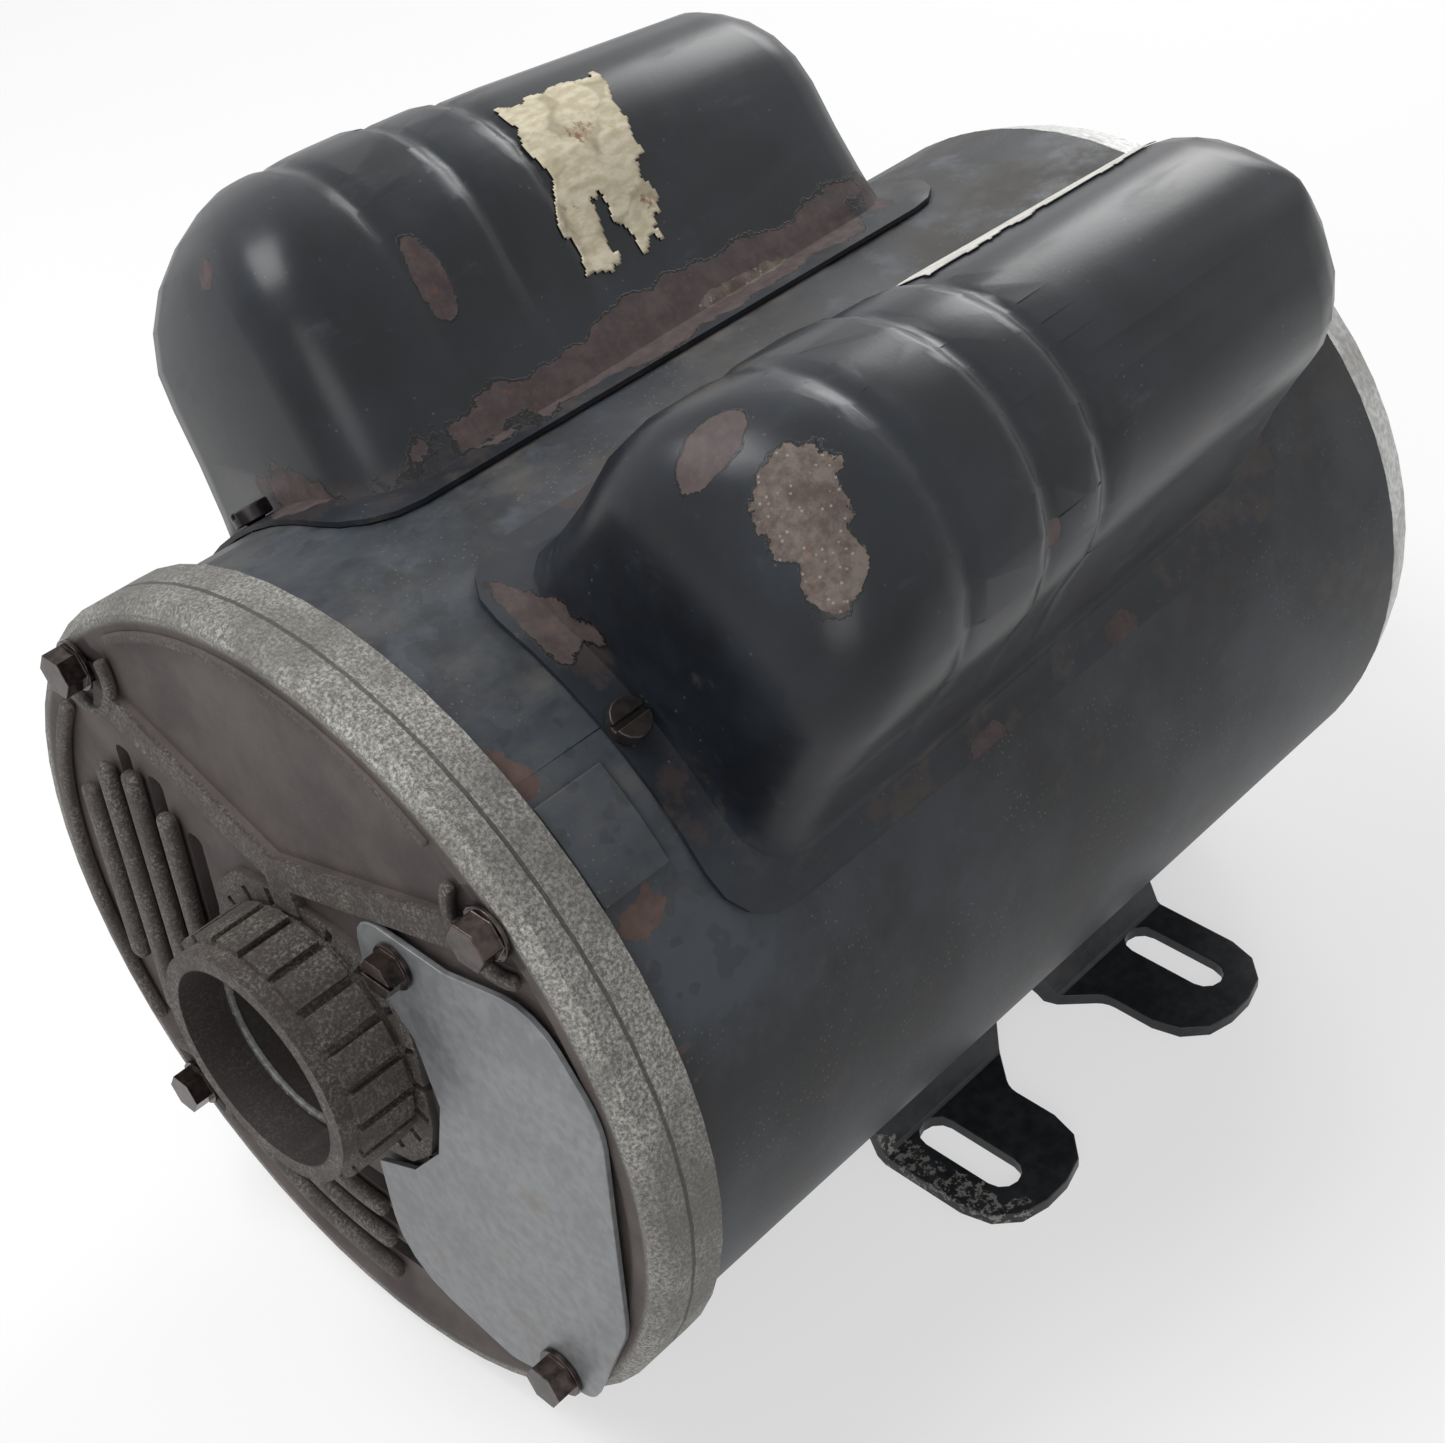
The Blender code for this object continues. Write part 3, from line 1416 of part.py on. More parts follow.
def cover_screw(name, along, side):
    seat = FLANGE_RADIUS + COVER_SHEET + GAP
    start = seat - COVER_SCREW_LENGTH
    crown = seat + COVER_SCREW_HEAD_HEIGHT
    screw = radial_rod(name, along, start, seat + 0.0010, SMALL_SCREW_RADIUS, side, DARK_STEEL, 12)
    head = radial_rod(
        f"{name}_head", along, seat, crown, COVER_SCREW_HEAD, side, None, 16, CUTTERS
    )
    fused(screw, head)
    work = bmesh.new()
    bmesh.ops.create_cube(work, size=1.0)
    turn = math.radians(COVER_ANGLE)
    outward = Vector((0.0, side * math.sin(turn), math.cos(turn)))
    stand = outward.to_track_quat("Z", "Y").to_matrix().to_4x4()
    centre = AXIS + outward * (crown + 0.0004) + Vector((along, 0.0, 0.0))
    shape = Matrix.Diagonal((0.0200, 0.0011, 0.0030, 1.0))
    work.transform(Matrix.Translation(centre) @ stand @ shape)
    slot = bpy.data.meshes.new(f"{name}_slot")
    work.to_mesh(slot)
    work.free()
    boolean(screw, link(f"{name}_slot", slot, None, CUTTERS), "DIFFERENCE")
    return smooth(screw)


def cover_rivet(name, along, side):
    seat = FLANGE_RADIUS + COVER_SHEET + GAP
    start = seat - COVER_SCREW_LENGTH
    crown = seat + COVER_RIVET_HEAD_HEIGHT
    rivet = radial_rod(name, along, start, seat + 0.0005, COVER_RIVET_RADIUS, side, DARK_STEEL, 12)
    head = radial_rod(
        f"{name}_head", along, seat, crown, COVER_RIVET_HEAD, side, None, 16, CUTTERS
    )
    fused(rivet, head)
    return smooth(rivet)


for cover_name, side in SIDES:
    cover(f"{cover_name}_capacitor_cover", side, COVER_TAPERS[cover_name])
    cover_screw(f"{cover_name}_cover_screw", COVER_FIXINGS[0][0], side)
    cover_rivet(f"{cover_name}_cover_rivet", COVER_FIXINGS[1][0], side)


# ---------------------------------------------------------------- capacitors
def capacitor(name, side, radius, length, skin):
    seat = SHELL_RADIUS + GAP + radius
    at = radial(seat, 0.0, side)
    start = X_FACE + CAPACITOR_START
    made = rod(name, start, start + length, radius, at, skin, 32)
    for order, offset in enumerate((-0.0070, 0.0070)):
        spot = radial(seat, offset, side)
        stud = rod(
            f"{name}_terminal_{order}",
            start - CAPACITOR_TERMINAL,
            start + 0.0020,
            0.0016,
            spot,
            None,
            12,
            CUTTERS,
        )
        fused(made, stud)
    return smooth(made)


capacitor(
    "start_capacitor",
    -1.0,
    START_CAPACITOR_RADIUS,
    START_CAPACITOR_LENGTH,
    PHENOLIC,
)
capacitor("run_capacitor", 1.0, RUN_CAPACITOR_RADIUS, RUN_CAPACITOR_LENGTH, CAN)
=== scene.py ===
# %% [markdown]
# # A worn electric motor
# The working model arrives already made: every part has its real shape and size, and moves on its own joint.
# This lesson gives it the look of a motor that has run for years in a dusty shop. We refine the visible
# shells, add the small things that are too fine for the working model, and paint it all with node materials.

import json
import math

import bmesh
import bpy
from mathutils import Matrix, Vector, noise
from mathutils.bvhtree import BVHTree

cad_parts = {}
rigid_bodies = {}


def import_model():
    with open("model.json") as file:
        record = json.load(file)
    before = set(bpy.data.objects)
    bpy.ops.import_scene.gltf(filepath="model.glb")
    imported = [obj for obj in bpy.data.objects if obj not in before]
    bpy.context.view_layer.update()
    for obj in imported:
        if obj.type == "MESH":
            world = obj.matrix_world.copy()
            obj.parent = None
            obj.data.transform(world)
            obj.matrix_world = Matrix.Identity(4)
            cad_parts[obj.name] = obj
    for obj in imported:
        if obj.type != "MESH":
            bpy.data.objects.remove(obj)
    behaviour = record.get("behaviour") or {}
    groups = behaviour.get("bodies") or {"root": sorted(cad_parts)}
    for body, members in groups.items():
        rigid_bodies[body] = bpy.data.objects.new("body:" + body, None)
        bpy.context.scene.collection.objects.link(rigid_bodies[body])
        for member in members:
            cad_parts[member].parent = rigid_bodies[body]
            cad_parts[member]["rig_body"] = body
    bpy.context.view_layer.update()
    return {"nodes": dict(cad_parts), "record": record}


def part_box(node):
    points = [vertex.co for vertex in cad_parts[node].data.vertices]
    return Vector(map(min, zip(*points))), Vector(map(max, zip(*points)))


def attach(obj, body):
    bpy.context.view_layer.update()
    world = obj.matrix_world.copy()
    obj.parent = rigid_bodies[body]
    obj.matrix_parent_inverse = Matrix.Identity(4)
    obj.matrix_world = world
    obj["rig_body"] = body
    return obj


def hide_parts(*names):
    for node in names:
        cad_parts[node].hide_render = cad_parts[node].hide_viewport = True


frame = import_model()
NODES = frame["nodes"]
print("nodes:", len(NODES))

# %% [markdown]
# ## Where things are
# A motor is laid out along its shaft, so each place is a distance along X and an angle about the shaft.
# The sizes come from the boxes of the loaded parts, which keeps the details on the motor if it changes.

# %% Places taken from the frame
SHELL_LOW, SHELL_HIGH = (Vector(corner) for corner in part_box("shell"))
REAR_LOW, REAR_HIGH = (Vector(corner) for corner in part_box("rear_end_shield"))
BASE_LOW, BASE_HIGH = (Vector(corner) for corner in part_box("base_cradle"))
START_LOW = Vector(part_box("start_capacitor_cover")[0])
SHELL_RADIUS = (SHELL_HIGH.y - SHELL_LOW.y) / 2.0
AXIS_HEIGHT = (SHELL_HIGH.z + SHELL_LOW.z) / 2.0
AXIS = Vector((0.0, 0.0, AXIS_HEIGHT))
RIM_RADIUS = (REAR_HIGH.y - REAR_LOW.y) / 2.0
X_SEAM = SHELL_LOW.x
X_FACE = X_SEAM - 0.0149
BASE_MIDDLE_X = (BASE_LOW.x + BASE_HIGH.x) / 2.0
FINE_BEVEL = 0.00035
MERGE_DISTANCE = 0.00001
print("shell radius", round(SHELL_RADIUS, 4), "rim radius", round(RIM_RADIUS, 4))


def around(x, degrees, radius):
    """Point at an angle from straight up, turning towards +Y, at a distance from the shaft axis."""
    turn = math.radians(degrees)
    return Vector((x, radius * math.sin(turn), AXIS_HEIGHT + radius * math.cos(turn)))


# %% [markdown]
# ## Shader maths as plain Python
# A node tree is easiest to read as a sum. The small class below wraps one output socket, so that
# `1 - mask * 0.4` adds the Math nodes by itself. Everything else goes through one `add` method.

# %% Helpers for node materials
class Value:
    """One number that changes over a surface."""

    def __init__(self, finish, socket):
        self.finish = finish
        self.socket = socket

    def _join(self, operation, first, second):
        node = self.finish.add("ShaderNodeMath", {"operation": operation}, {0: first, 1: second})
        return Value(self.finish, node.outputs[0])

    def __add__(self, other):
        return self._join("ADD", self, other)

    __radd__ = __add__

    def __sub__(self, other):
        return self._join("SUBTRACT", self, other)

    def __rsub__(self, other):
        return self._join("SUBTRACT", other, self)

    def __mul__(self, other):
        return self._join("MULTIPLY", self, other)

    __rmul__ = __mul__

    def most(self, other):
        return self._join("MAXIMUM", self, other)

    def step(self, low, high):
        """0 below low and 1 above high, with a soft change between. Swap them to turn it round."""
        settings = {"interpolation_type": "SMOOTHSTEP"}
        if low < high:
            values = {"Value": self, "From Min": low, "From Max": high, "To Min": 0.0, "To Max": 1.0}
        else:
            values = {"Value": self, "From Min": high, "From Max": low, "To Min": 1.0, "To Max": 0.0}
        return Value(self.finish, self.finish.add("ShaderNodeMapRange", settings, values).outputs["Result"])


class Finish:
    """One material that is built up node by node on Object coordinates."""

    def __init__(self, name, **constants):
        self.material = bpy.data.materials.new(name)
        self.material.use_nodes = True
        self.tree = self.material.node_tree
        self.shader = self.tree.nodes["Principled BSDF"]
        for socket, value in constants.items():
            self.shader.inputs[socket.replace("_", " ")].default_value = value
        self.place = self.add("ShaderNodeTexCoord", {}, {}).outputs["Object"]

    def add(self, kind, settings, values):
        node = self.tree.nodes.new(kind)
        for key, value in settings.items():
            setattr(node, key, value)
        for key, value in values.items():
            self.feed(node.inputs[key], value)
        return node

    def feed(self, socket, value):
        if isinstance(value, Value):
            value = value.socket
        if isinstance(value, bpy.types.NodeSocket):
            self.tree.links.new(value, socket)
        elif socket.type == "RGBA" and len(value) == 3:
            socket.default_value = (*value, 1.0)
        else:
            socket.default_value = value

    def noise(self, scale, detail=4.0, roughness=0.55, at=None):
        values = {"Vector": at or self.place, "Scale": scale, "Detail": detail, "Roughness": roughness}
        return Value(self, self.add("ShaderNodeTexNoise", {}, values).outputs["Fac"])

    def stretched(self, scale):
        node = self.add("ShaderNodeMapping", {}, {"Vector": self.place, "Scale": scale})
        return node.outputs["Vector"]

    def cells(self, scale, output="Distance"):
        node = self.add("ShaderNodeTexVoronoi", {}, {"Vector": self.place, "Scale": scale})
        return Value(self, node.outputs[output])

    def mix(self, amount, low, high):
        settings = {"data_type": "RGBA"}
        node = self.add("ShaderNodeMix", settings, {0: amount, 6: low, 7: high})
        return node.outputs[2]

    def axes(self):
        node = self.add("ShaderNodeSeparateXYZ", {}, {0: self.place})
        return [Value(self, output) for output in node.outputs]

    def from_shaft(self):
        """Distance from the shaft axis."""
        flat = self.add(
            "ShaderNodeMapping",
            {"vector_type": "POINT"},
            {"Vector": self.place, "Location": (0.0, 0.0, -AXIS_HEIGHT), "Scale": (0.0, 1.0, 1.0)},
        )
        length = self.add("ShaderNodeVectorMath", {"operation": "LENGTH"}, {0: flat.outputs["Vector"]})
        return Value(self, length.outputs["Value"])

    def spot(self, centre, size, ragged=0.5, grain=130.0, turn=(0.0, 0.0, 0.0)):
        """1 inside a ragged patch about a point, 0 outside. `size` holds its half sizes."""
        moved = self.add(
            "ShaderNodeVectorMath",
            {"operation": "SUBTRACT"},
            {0: self.place, 1: tuple(centre)},
        )
        turned = self.add(
            "ShaderNodeVectorRotate",
            {"rotation_type": "EULER_XYZ"},
            {"Vector": moved.outputs[0], "Rotation": turn},
        )
        scaled = self.add(
            "ShaderNodeVectorMath",
            {"operation": "DIVIDE"},
            {0: turned.outputs[0], 1: tuple(size)},
        )
        length = self.add("ShaderNodeVectorMath", {"operation": "LENGTH"}, {0: scaled.outputs[0]})
        reach = Value(self, length.outputs["Value"])
        broad = self.noise(grain * 0.5, 2.0, 0.5) - 0.5
        fine = self.noise(grain * 3.0, 5.0, 0.68) - 0.5
        return (reach + broad * (3.4 * ragged) + fine * (1.1 * ragged)).step(1.015, 0.985)

    def bump(self, height, strength, distance):
        node = self.add(
            "ShaderNodeBump",
            {},
            {"Strength": strength, "Distance": distance, "Height": height},
        )
        self.feed(self.shader.inputs["Normal"], node.outputs["Normal"])

    def set(self, **values):
        for socket, value in values.items():
            self.feed(self.shader.inputs[socket.replace("_", " ")], value)
        return self.material


print("helpers ready")

# %% [markdown]
# ## Refining a working part
# A working part is made of loose triangles, so light shows its facets. We could model it again, but its
# shape is right already. It is quicker and truer to merge a copy, join its flat triangles into clean faces
# and give its edges a small bevel, because no cast or pressed edge is perfectly sharp.

# %% A refined copy of a working part
FLAT_ANGLE = 0.6


def link(name, mesh, material):
    made = bpy.data.objects.new(name, mesh)
    bpy.context.scene.collection.objects.link(made)
    mesh.materials.clear()
    mesh.materials.append(material)
    return made


def shade(mesh, angle):
    mesh.shade_smooth()
    mesh.set_sharp_from_angle(angle=math.radians(angle))


def soften(made, width, segments=2, angle=32.0):
    step = made.modifiers.new("edges", "BEVEL")
    step.width = width
    step.segments = segments
    step.limit_method = "ANGLE"
    step.angle_limit = math.radians(angle)
    step.harden_normals = True
    step.use_clamp_overlap = True
    return made


def refine(node, material, angle=32.0, bevel=FINE_BEVEL, shape=None):
    source = NODES[node]
    work = bmesh.new()
    work.from_mesh(source.data)
    bmesh.ops.remove_doubles(work, verts=work.verts, dist=MERGE_DISTANCE)
    if shape:
        shape(work)
    bmesh.ops.dissolve_limit(
        work,
        angle_limit=math.radians(FLAT_ANGLE),
        verts=work.verts,
        edges=work.edges,
        delimit={"NORMAL"},
    )
    mesh = bpy.data.meshes.new(node + "_finish")
    work.to_mesh(mesh)
    work.free()
    made = link(node + "_finish", mesh, material)
    shade(mesh, angle)
    if bevel:
        soften(made, bevel, angle=angle)
    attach(made, source["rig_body"])
    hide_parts(node)
    return made


# %% [markdown]
# ## Shell paint
# The shell is rolled steel under thin matte black paint. Years of dust lie on top where nobody wipes it, and
# the paint flakes to rust at the seam where the end shield was hammered home. Patchy blue-grey on the upper
# half, and a lighter patch of it near the seam, is painted sheen that stands for light falling on the top.
# Dust belongs to faces that look up, so its mask uses the height of the surface.

# %% Black shell paint
TAB_FLAKE = around(X_SEAM + 0.0068, -53.5, SHELL_RADIUS)
SEAM_FLAKE = around(X_SEAM + 0.0020, -32.5, SHELL_RADIUS)
FLAKE_RAGGED = 0.60
FLAKE_GRAIN = 260.0
PAINT_BLACK = (0.012, 0.013, 0.015)
PAINT_WORN = (0.030, 0.034, 0.041)
PAINTED_SHEEN_BLUE_GREY = (0.052, 0.060, 0.072)
PAINTED_SHEEN_NEAR_SEAM = (0.066, 0.078, 0.092)
PAINT_DAMP = (0.014, 0.016, 0.019)
DUST_THICK = (0.120, 0.110, 0.098)
DUST_THIN = (0.085, 0.080, 0.073)
DUST_SPECK = (0.24, 0.23, 0.21)
RUST_DARK = (0.050, 0.030, 0.027)
RUST_LIGHT = (0.135, 0.092, 0.080)


def shell_paint():
    finish = Finish("black_shell_paint", Specular_IOR_Level=0.30)
    x, _, z = finish.axes()
    mottle = finish.noise(26.0, 6.0, 0.62)
    sheen_blotch = finish.noise(70.0, 5.0, 0.6)
    grit = finish.noise(1500.0, 3.0, 0.6)
    cloudy = finish.noise(34.0, 7.0, 0.68, finish.stretched((0.7, 1.0, 1.0)))
    upper = z.step(AXIS_HEIGHT + 0.25 * SHELL_RADIUS, AXIS_HEIGHT + 0.98 * SHELL_RADIUS)
    dust = cloudy.step(0.44, 0.68) * upper
    specks = finish.cells(760.0).step(0.20, 0.11) * finish.noise(60.0, 2.0).step(0.46, 0.62)
    seam = x.step(X_SEAM + 0.0055, X_SEAM + 0.0005) * finish.noise(190.0, 5.0, 0.65).step(0.60, 0.63)
    tab_flake = finish.spot(TAB_FLAKE, (0.0055, 0.0040, 0.0040), FLAKE_RAGGED, FLAKE_GRAIN)
    seam_flake = finish.spot(SEAM_FLAKE, (0.0030, 0.0058, 0.0058), FLAKE_RAGGED, FLAKE_GRAIN)
    bare = seam.most(tab_flake).most(seam_flake)
    paint = finish.mix(mottle.step(0.38, 0.66), PAINT_BLACK, PAINT_WORN)
    # Painted sheen: patchy blue-grey over the upper half of the shell stands for light falling on its top.
    paint = finish.mix(sheen_blotch.step(0.52, 0.70) * upper, paint, PAINTED_SHEEN_BLUE_GREY)
    # Painted sheen: a lighter blue-grey patch on the upper half near the seam, with darker patches in it.
    sheen_near_seam = x.step(X_SEAM + 0.0600, X_SEAM + 0.0100)
    sheen_near_seam = sheen_near_seam * z.step(AXIS_HEIGHT, AXIS_HEIGHT + 0.5 * SHELL_RADIUS)
    damp = finish.noise(150.0, 2.0, 0.45).step(0.56, 0.59)
    paint = finish.mix(sheen_near_seam * mottle.step(0.34, 0.62) * 0.60, paint, PAINTED_SHEEN_NEAR_SEAM)
    paint = finish.mix(sheen_near_seam * damp * 0.38, paint, PAINT_DAMP)
    thin_dust = finish.noise(44.0, 7.0, 0.70).step(0.55, 0.72) * 0.25
    dusty = finish.mix(thin_dust, finish.mix(dust * 0.60, paint, DUST_THICK), DUST_THIN)
    speckled = finish.mix(specks * 0.28, dusty, DUST_SPECK)
    rust = finish.mix(finish.noise(420.0, 4.0), RUST_DARK, RUST_LIGHT)
    finish.set(
        Base_Color=finish.mix(bare, speckled, rust),
        Roughness=0.40 + dust * 0.36 + grit * 0.10 + bare * 0.22,
    )
    finish.bump(grit * 0.25 + dust * 0.25 - bare * 0.9, 0.35, 0.00025)
    return finish.material


SHELL_PAINT = shell_paint()
print("shell paint:", len(SHELL_PAINT.node_tree.nodes), "nodes")

# %% [markdown]
# ## Cover paint
# Each capacitor cover is a deep drawn steel pressing under satin blue-black paint that has come loose in
# sheets. Where it has gone, red-brown primer and rust show with a thin dark edge of lifted paint. A patch
# is a stretched distance with noise on it: cheap, ragged, and placed by its centre.

# %% Cover paint with torn patches
LIFTED_EDGE = 1.07
COVER_BLACK = (0.0050, 0.0064, 0.0092)
COVER_BLUE_BLACK = (0.0120, 0.0155, 0.0215)
COVER_SCUFF = (0.052, 0.057, 0.064)
COVER_THINNED = (0.034, 0.026, 0.025)
COVER_DUST = (0.105, 0.095, 0.083)
COVER_SPECK = (0.20, 0.19, 0.18)
COVER_LIP = (0.0035, 0.0035, 0.0040)
PRIMER_DARK = (0.044, 0.030, 0.030)
PRIMER_LIGHT = (0.080, 0.060, 0.059)
PRIMER_RUST = (0.140, 0.066, 0.042)
METAL_DARK = (0.062, 0.043, 0.037)
METAL_LIGHT = (0.150, 0.120, 0.103)
METAL_RUST = (0.190, 0.110, 0.075)
METAL_GLINT = (0.360, 0.330, 0.300)


def joined(finish, patches, growth=1.0):
    """One mask for several ragged patches, each given as (centre, half sizes, raggedness)."""
    total = None
    for centre, size, ragged in patches:
        one = finish.spot(centre, [value * growth for value in size], ragged)
        total = one if total is None else total.most(one)
    return total


def cover_paint(name, pale_patches, brown_patches, flange_wear):
    finish = Finish(name, Specular_IOR_Level=0.34)
    mottle = finish.noise(38.0, 5.0, 0.6)
    orange_peel = finish.noise(1150.0, 2.0, 0.5)
    scuffs = finish.noise(90.0, 6.0, 0.7, finish.stretched((0.35, 1.0, 1.0)))
    flange = finish.from_shaft().step(SHELL_RADIUS + 0.0060, SHELL_RADIUS + 0.0030)
    pale = joined(finish, pale_patches)
    brown = joined(finish, brown_patches)
    edge = joined(finish, pale_patches + brown_patches, LIFTED_EDGE)
    thinned = flange * finish.noise(60.0, 6.0, 0.70).step(0.50, 0.60) * flange_wear
    bare = pale.most(brown)
    paint = finish.mix(mottle.step(0.36, 0.68), COVER_BLACK, COVER_BLUE_BLACK)
    paint = finish.mix(scuffs.step(0.60, 0.74) * 0.4, paint, COVER_SCUFF)
    paint = finish.mix(thinned, paint, COVER_THINNED)
    dust = finish.noise(48.0, 7.0, 0.7).step(0.54, 0.74) * flange
    paint = finish.mix(dust * 0.35, paint, COVER_DUST)
    specks = finish.cells(430.0).step(0.15, 0.08) * finish.noise(75.0, 2.0).step(0.52, 0.66)
    paint = finish.mix(specks * 0.25, paint, COVER_SPECK)
    stain = finish.noise(210.0, 6.0, 0.72)
    rust = finish.noise(520.0, 4.0).step(0.60, 0.72)
    brown_tone = finish.mix(stain.step(0.34, 0.70), PRIMER_DARK, PRIMER_LIGHT)
    brown_tone = finish.mix(rust * 0.45, brown_tone, PRIMER_RUST)
    pale_tone = finish.mix(stain.step(0.36, 0.64), METAL_DARK, METAL_LIGHT)
    glint = finish.cells(700.0).step(0.22, 0.12)
    pale_tone = finish.mix(rust * 0.4, pale_tone, METAL_RUST)
    pale_tone = finish.mix(glint * 0.5, pale_tone, METAL_GLINT)
    lip = finish.mix(edge, paint, COVER_LIP)
    finish.set(
        Base_Color=finish.mix(pale, finish.mix(brown, lip, brown_tone), pale_tone),
        Roughness=0.25 + mottle * 0.12 + scuffs.step(0.5, 0.8) * 0.14 + bare * 0.22 + flange * 0.16,
    )
    finish.bump(orange_peel * 0.10 + edge * 0.7 - bare * 1.5 + scuffs * 0.1, 0.40, 0.00030)
    return finish.material


NOSE_X = START_LOW.x + 0.0190
FLANGE_RADIUS = SHELL_RADIUS + 0.0014
START_PALE = [
    (around(NOSE_X + 0.0010, -34.0, 0.1352), (0.0088, 0.0076, 0.0092), 0.62),
    (around(NOSE_X + 0.0005, -37.6, 0.1330), (0.0066, 0.0052, 0.0062), 0.55),
]
START_BROWN = [
    (around(NOSE_X - 0.0010, -26.6, 0.1312), (0.0065, 0.0036, 0.0055), 0.50),
    (around(-0.0455, -45.0, 0.1299), (0.0026, 0.0022, 0.0030), 0.8),
    (around(-0.0009, -61.8, FLANGE_RADIUS), (0.0060, 0.0030, 0.0040), 0.8),
    (around(-0.0429, -63.0, FLANGE_RADIUS), (0.0050, 0.0030, 0.0035), 0.8),
    (around(START_LOW.x + 0.0052, -19.5, FLANGE_RADIUS), (0.0042, 0.0095, 0.0045), 0.6),
]
RUN_PALE = [(around(-0.0040, 13.6, FLANGE_RADIUS), (0.0120, 0.0030, 0.0030), 0.7)]
RUN_BROWN = [
    (around(-0.0652, 18.0, 0.1120), (0.0036, 0.0058, 0.0085), 0.50),
    (around(-0.0931, 29.8, 0.1278), (0.0034, 0.0030, 0.0030), 0.6),
    (around(-0.0180, 13.4, FLANGE_RADIUS + 0.0020), (0.0580, 0.0085, 0.0060), 0.45),
    (around(-0.0980, 27.0, FLANGE_RADIUS), (0.0070, 0.0120, 0.0050), 0.7),
]
START_COVER_PAINT = cover_paint("start_cover_paint", START_PALE, START_BROWN, 0.85)
RUN_COVER_PAINT = cover_paint("run_cover_paint", RUN_PALE, RUN_BROWN, 0.60)
print("cover paint:", len(START_COVER_PAINT.node_tree.nodes), "nodes")

# %% [markdown]
# ## Cast aluminium
# The end shield is sand-grained cast aluminium. Its face has gone brown-grey with oil and dust, while the
# turned rim was wiped and handled, so it shows silver grains. One material does both, told apart by the
# distance from the shaft.

# %% Dusty casting with a bright rim
BOLT_MIDDLE = (Vector(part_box("through_bolt_1")[0]) + Vector(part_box("through_bolt_1")[1])) / 2.0
BOLT_CIRCLE = (BOLT_MIDDLE - Vector((BOLT_MIDDLE.x, 0.0, AXIS_HEIGHT))).length
BOLT_ANGLES = (45.0, 135.0, 225.0, 315.0)
POCKET_SIZE = (0.0110, 0.0085, 0.0085)
BAND_EDGE = (RIM_RADIUS - 0.0046, RIM_RADIUS - 0.0030)
GROOVE_REAR = (X_SEAM - 0.0079, X_SEAM - 0.0076)
GROOVE_FRONT = (X_SEAM - 0.0068, X_SEAM - 0.0071)
PROUD_EDGE = (RIM_RADIUS - 0.0050, RIM_RADIUS - 0.0070)
HUB_EDGE = (0.0275, 0.0262)
BORE_EDGE = (0.0216, 0.0208)
CAST_DARK = (0.052, 0.042, 0.040)
CAST_LIGHT = (0.100, 0.082, 0.077)
CAST_SAND = (0.190, 0.172, 0.162)
WORN_DARK = (0.034, 0.029, 0.026)
WORN_SANDY = (0.120, 0.106, 0.092)
WORN_PALE = (0.270, 0.255, 0.228)
BORE_PAINTED_SHADE = (0.024, 0.018, 0.018)
POCKET_PAINTED_SHADE = (0.016, 0.012, 0.011)
BAND_GREY = (0.105, 0.100, 0.090)
BAND_SILVER = (0.440, 0.430, 0.405)
GROOVE_DARK = (0.045, 0.042, 0.038)


def casting():
    finish = Finish("dusty_casting", Specular_IOR_Level=0.4)
    radius = finish.from_shaft()
    x = finish.axes()[0]
    sand = finish.noise(1000.0, 4.0, 0.65)
    coarse = finish.noise(1500.0, 6.0, 0.80)
    stain = finish.noise(38.0, 6.0, 0.62)
    rim = radius.step(*BAND_EDGE)
    silver = rim * coarse.step(0.38, 0.68) * (0.30 + stain.step(0.36, 0.60) * 0.70)
    groove = x.step(*GROOVE_REAR) * x.step(*GROOVE_FRONT)
    raised = x.step(X_FACE, X_FACE - 0.0006)
    proud = raised * radius.step(*PROUD_EDGE)
    hub = radius.step(*HUB_EDGE)
    dark = finish.mix(stain.step(0.34, 0.68), CAST_DARK, CAST_LIGHT)
    dark = finish.mix(sand.step(0.60, 0.74) * 0.45, dark, CAST_SAND)
    patchy = finish.noise(120.0, 5.0, 0.65).step(0.38, 0.62)
    sandy = finish.mix(patchy, WORN_SANDY, WORN_PALE)
    worn = finish.mix(coarse.step(0.44, 0.68), WORN_DARK, sandy)
    face = finish.mix(proud.most(hub) * 0.75, dark, worn)
    # Painted shade: the inside of the bore is darkened to stand for the shadow in the hole.
    face = finish.mix(radius.step(*BORE_EDGE) * 0.85, face, BORE_PAINTED_SHADE)
    # Painted shade: a dark patch at each bolt seat stands for the shadow in its pocket.
    for degrees in BOLT_ANGLES:
        pocket_shade = finish.spot(around(X_FACE - 0.0001, degrees, BOLT_CIRCLE), POCKET_SIZE, 0.16)
        face = finish.mix(pocket_shade * 0.72, face, POCKET_PAINTED_SHADE)
    band = finish.mix(silver, BAND_GREY, BAND_SILVER)
    band = finish.mix(groove * rim * 0.8, band, GROOVE_DARK)
    finish.set(
        Base_Color=finish.mix(rim, face, band),
        Roughness=0.62 - silver * 0.16 + sand * 0.12,
        Metallic=0.20 + silver * 0.45,
    )
    finish.bump(sand * 0.5 + coarse * 0.5 - groove * rim * 2.0, 0.50, 0.00030)
    return finish.material


def bright_casting():
    finish = Finish("bright_casting", Metallic=0.85)
    sand = finish.noise(700.0, 4.0, 0.6)
    stain = finish.noise(42.0, 5.0, 0.6)
    clean = finish.mix(sand.step(0.35, 0.65), (0.37, 0.37, 0.36), (0.56, 0.56, 0.55))
    finish.set(
        Base_Color=finish.mix(stain.step(0.50, 0.72) * 0.6, clean, (0.20, 0.19, 0.175)),
        Roughness=0.36 + stain * 0.22,
    )
    finish.bump(sand, 0.35, 0.0002)
    return finish.material


CASTING = casting()
BRIGHT_CASTING = bright_casting()
print("castings ready")

# %% [markdown]
# ## Plain metals, plastics and windings
# These finishes share one recipe: a mottled colour between two tones, a roughness that follows the same
# mottling, and a fine bump. A function with a few numbers is clearer than nine copies of the same tree.

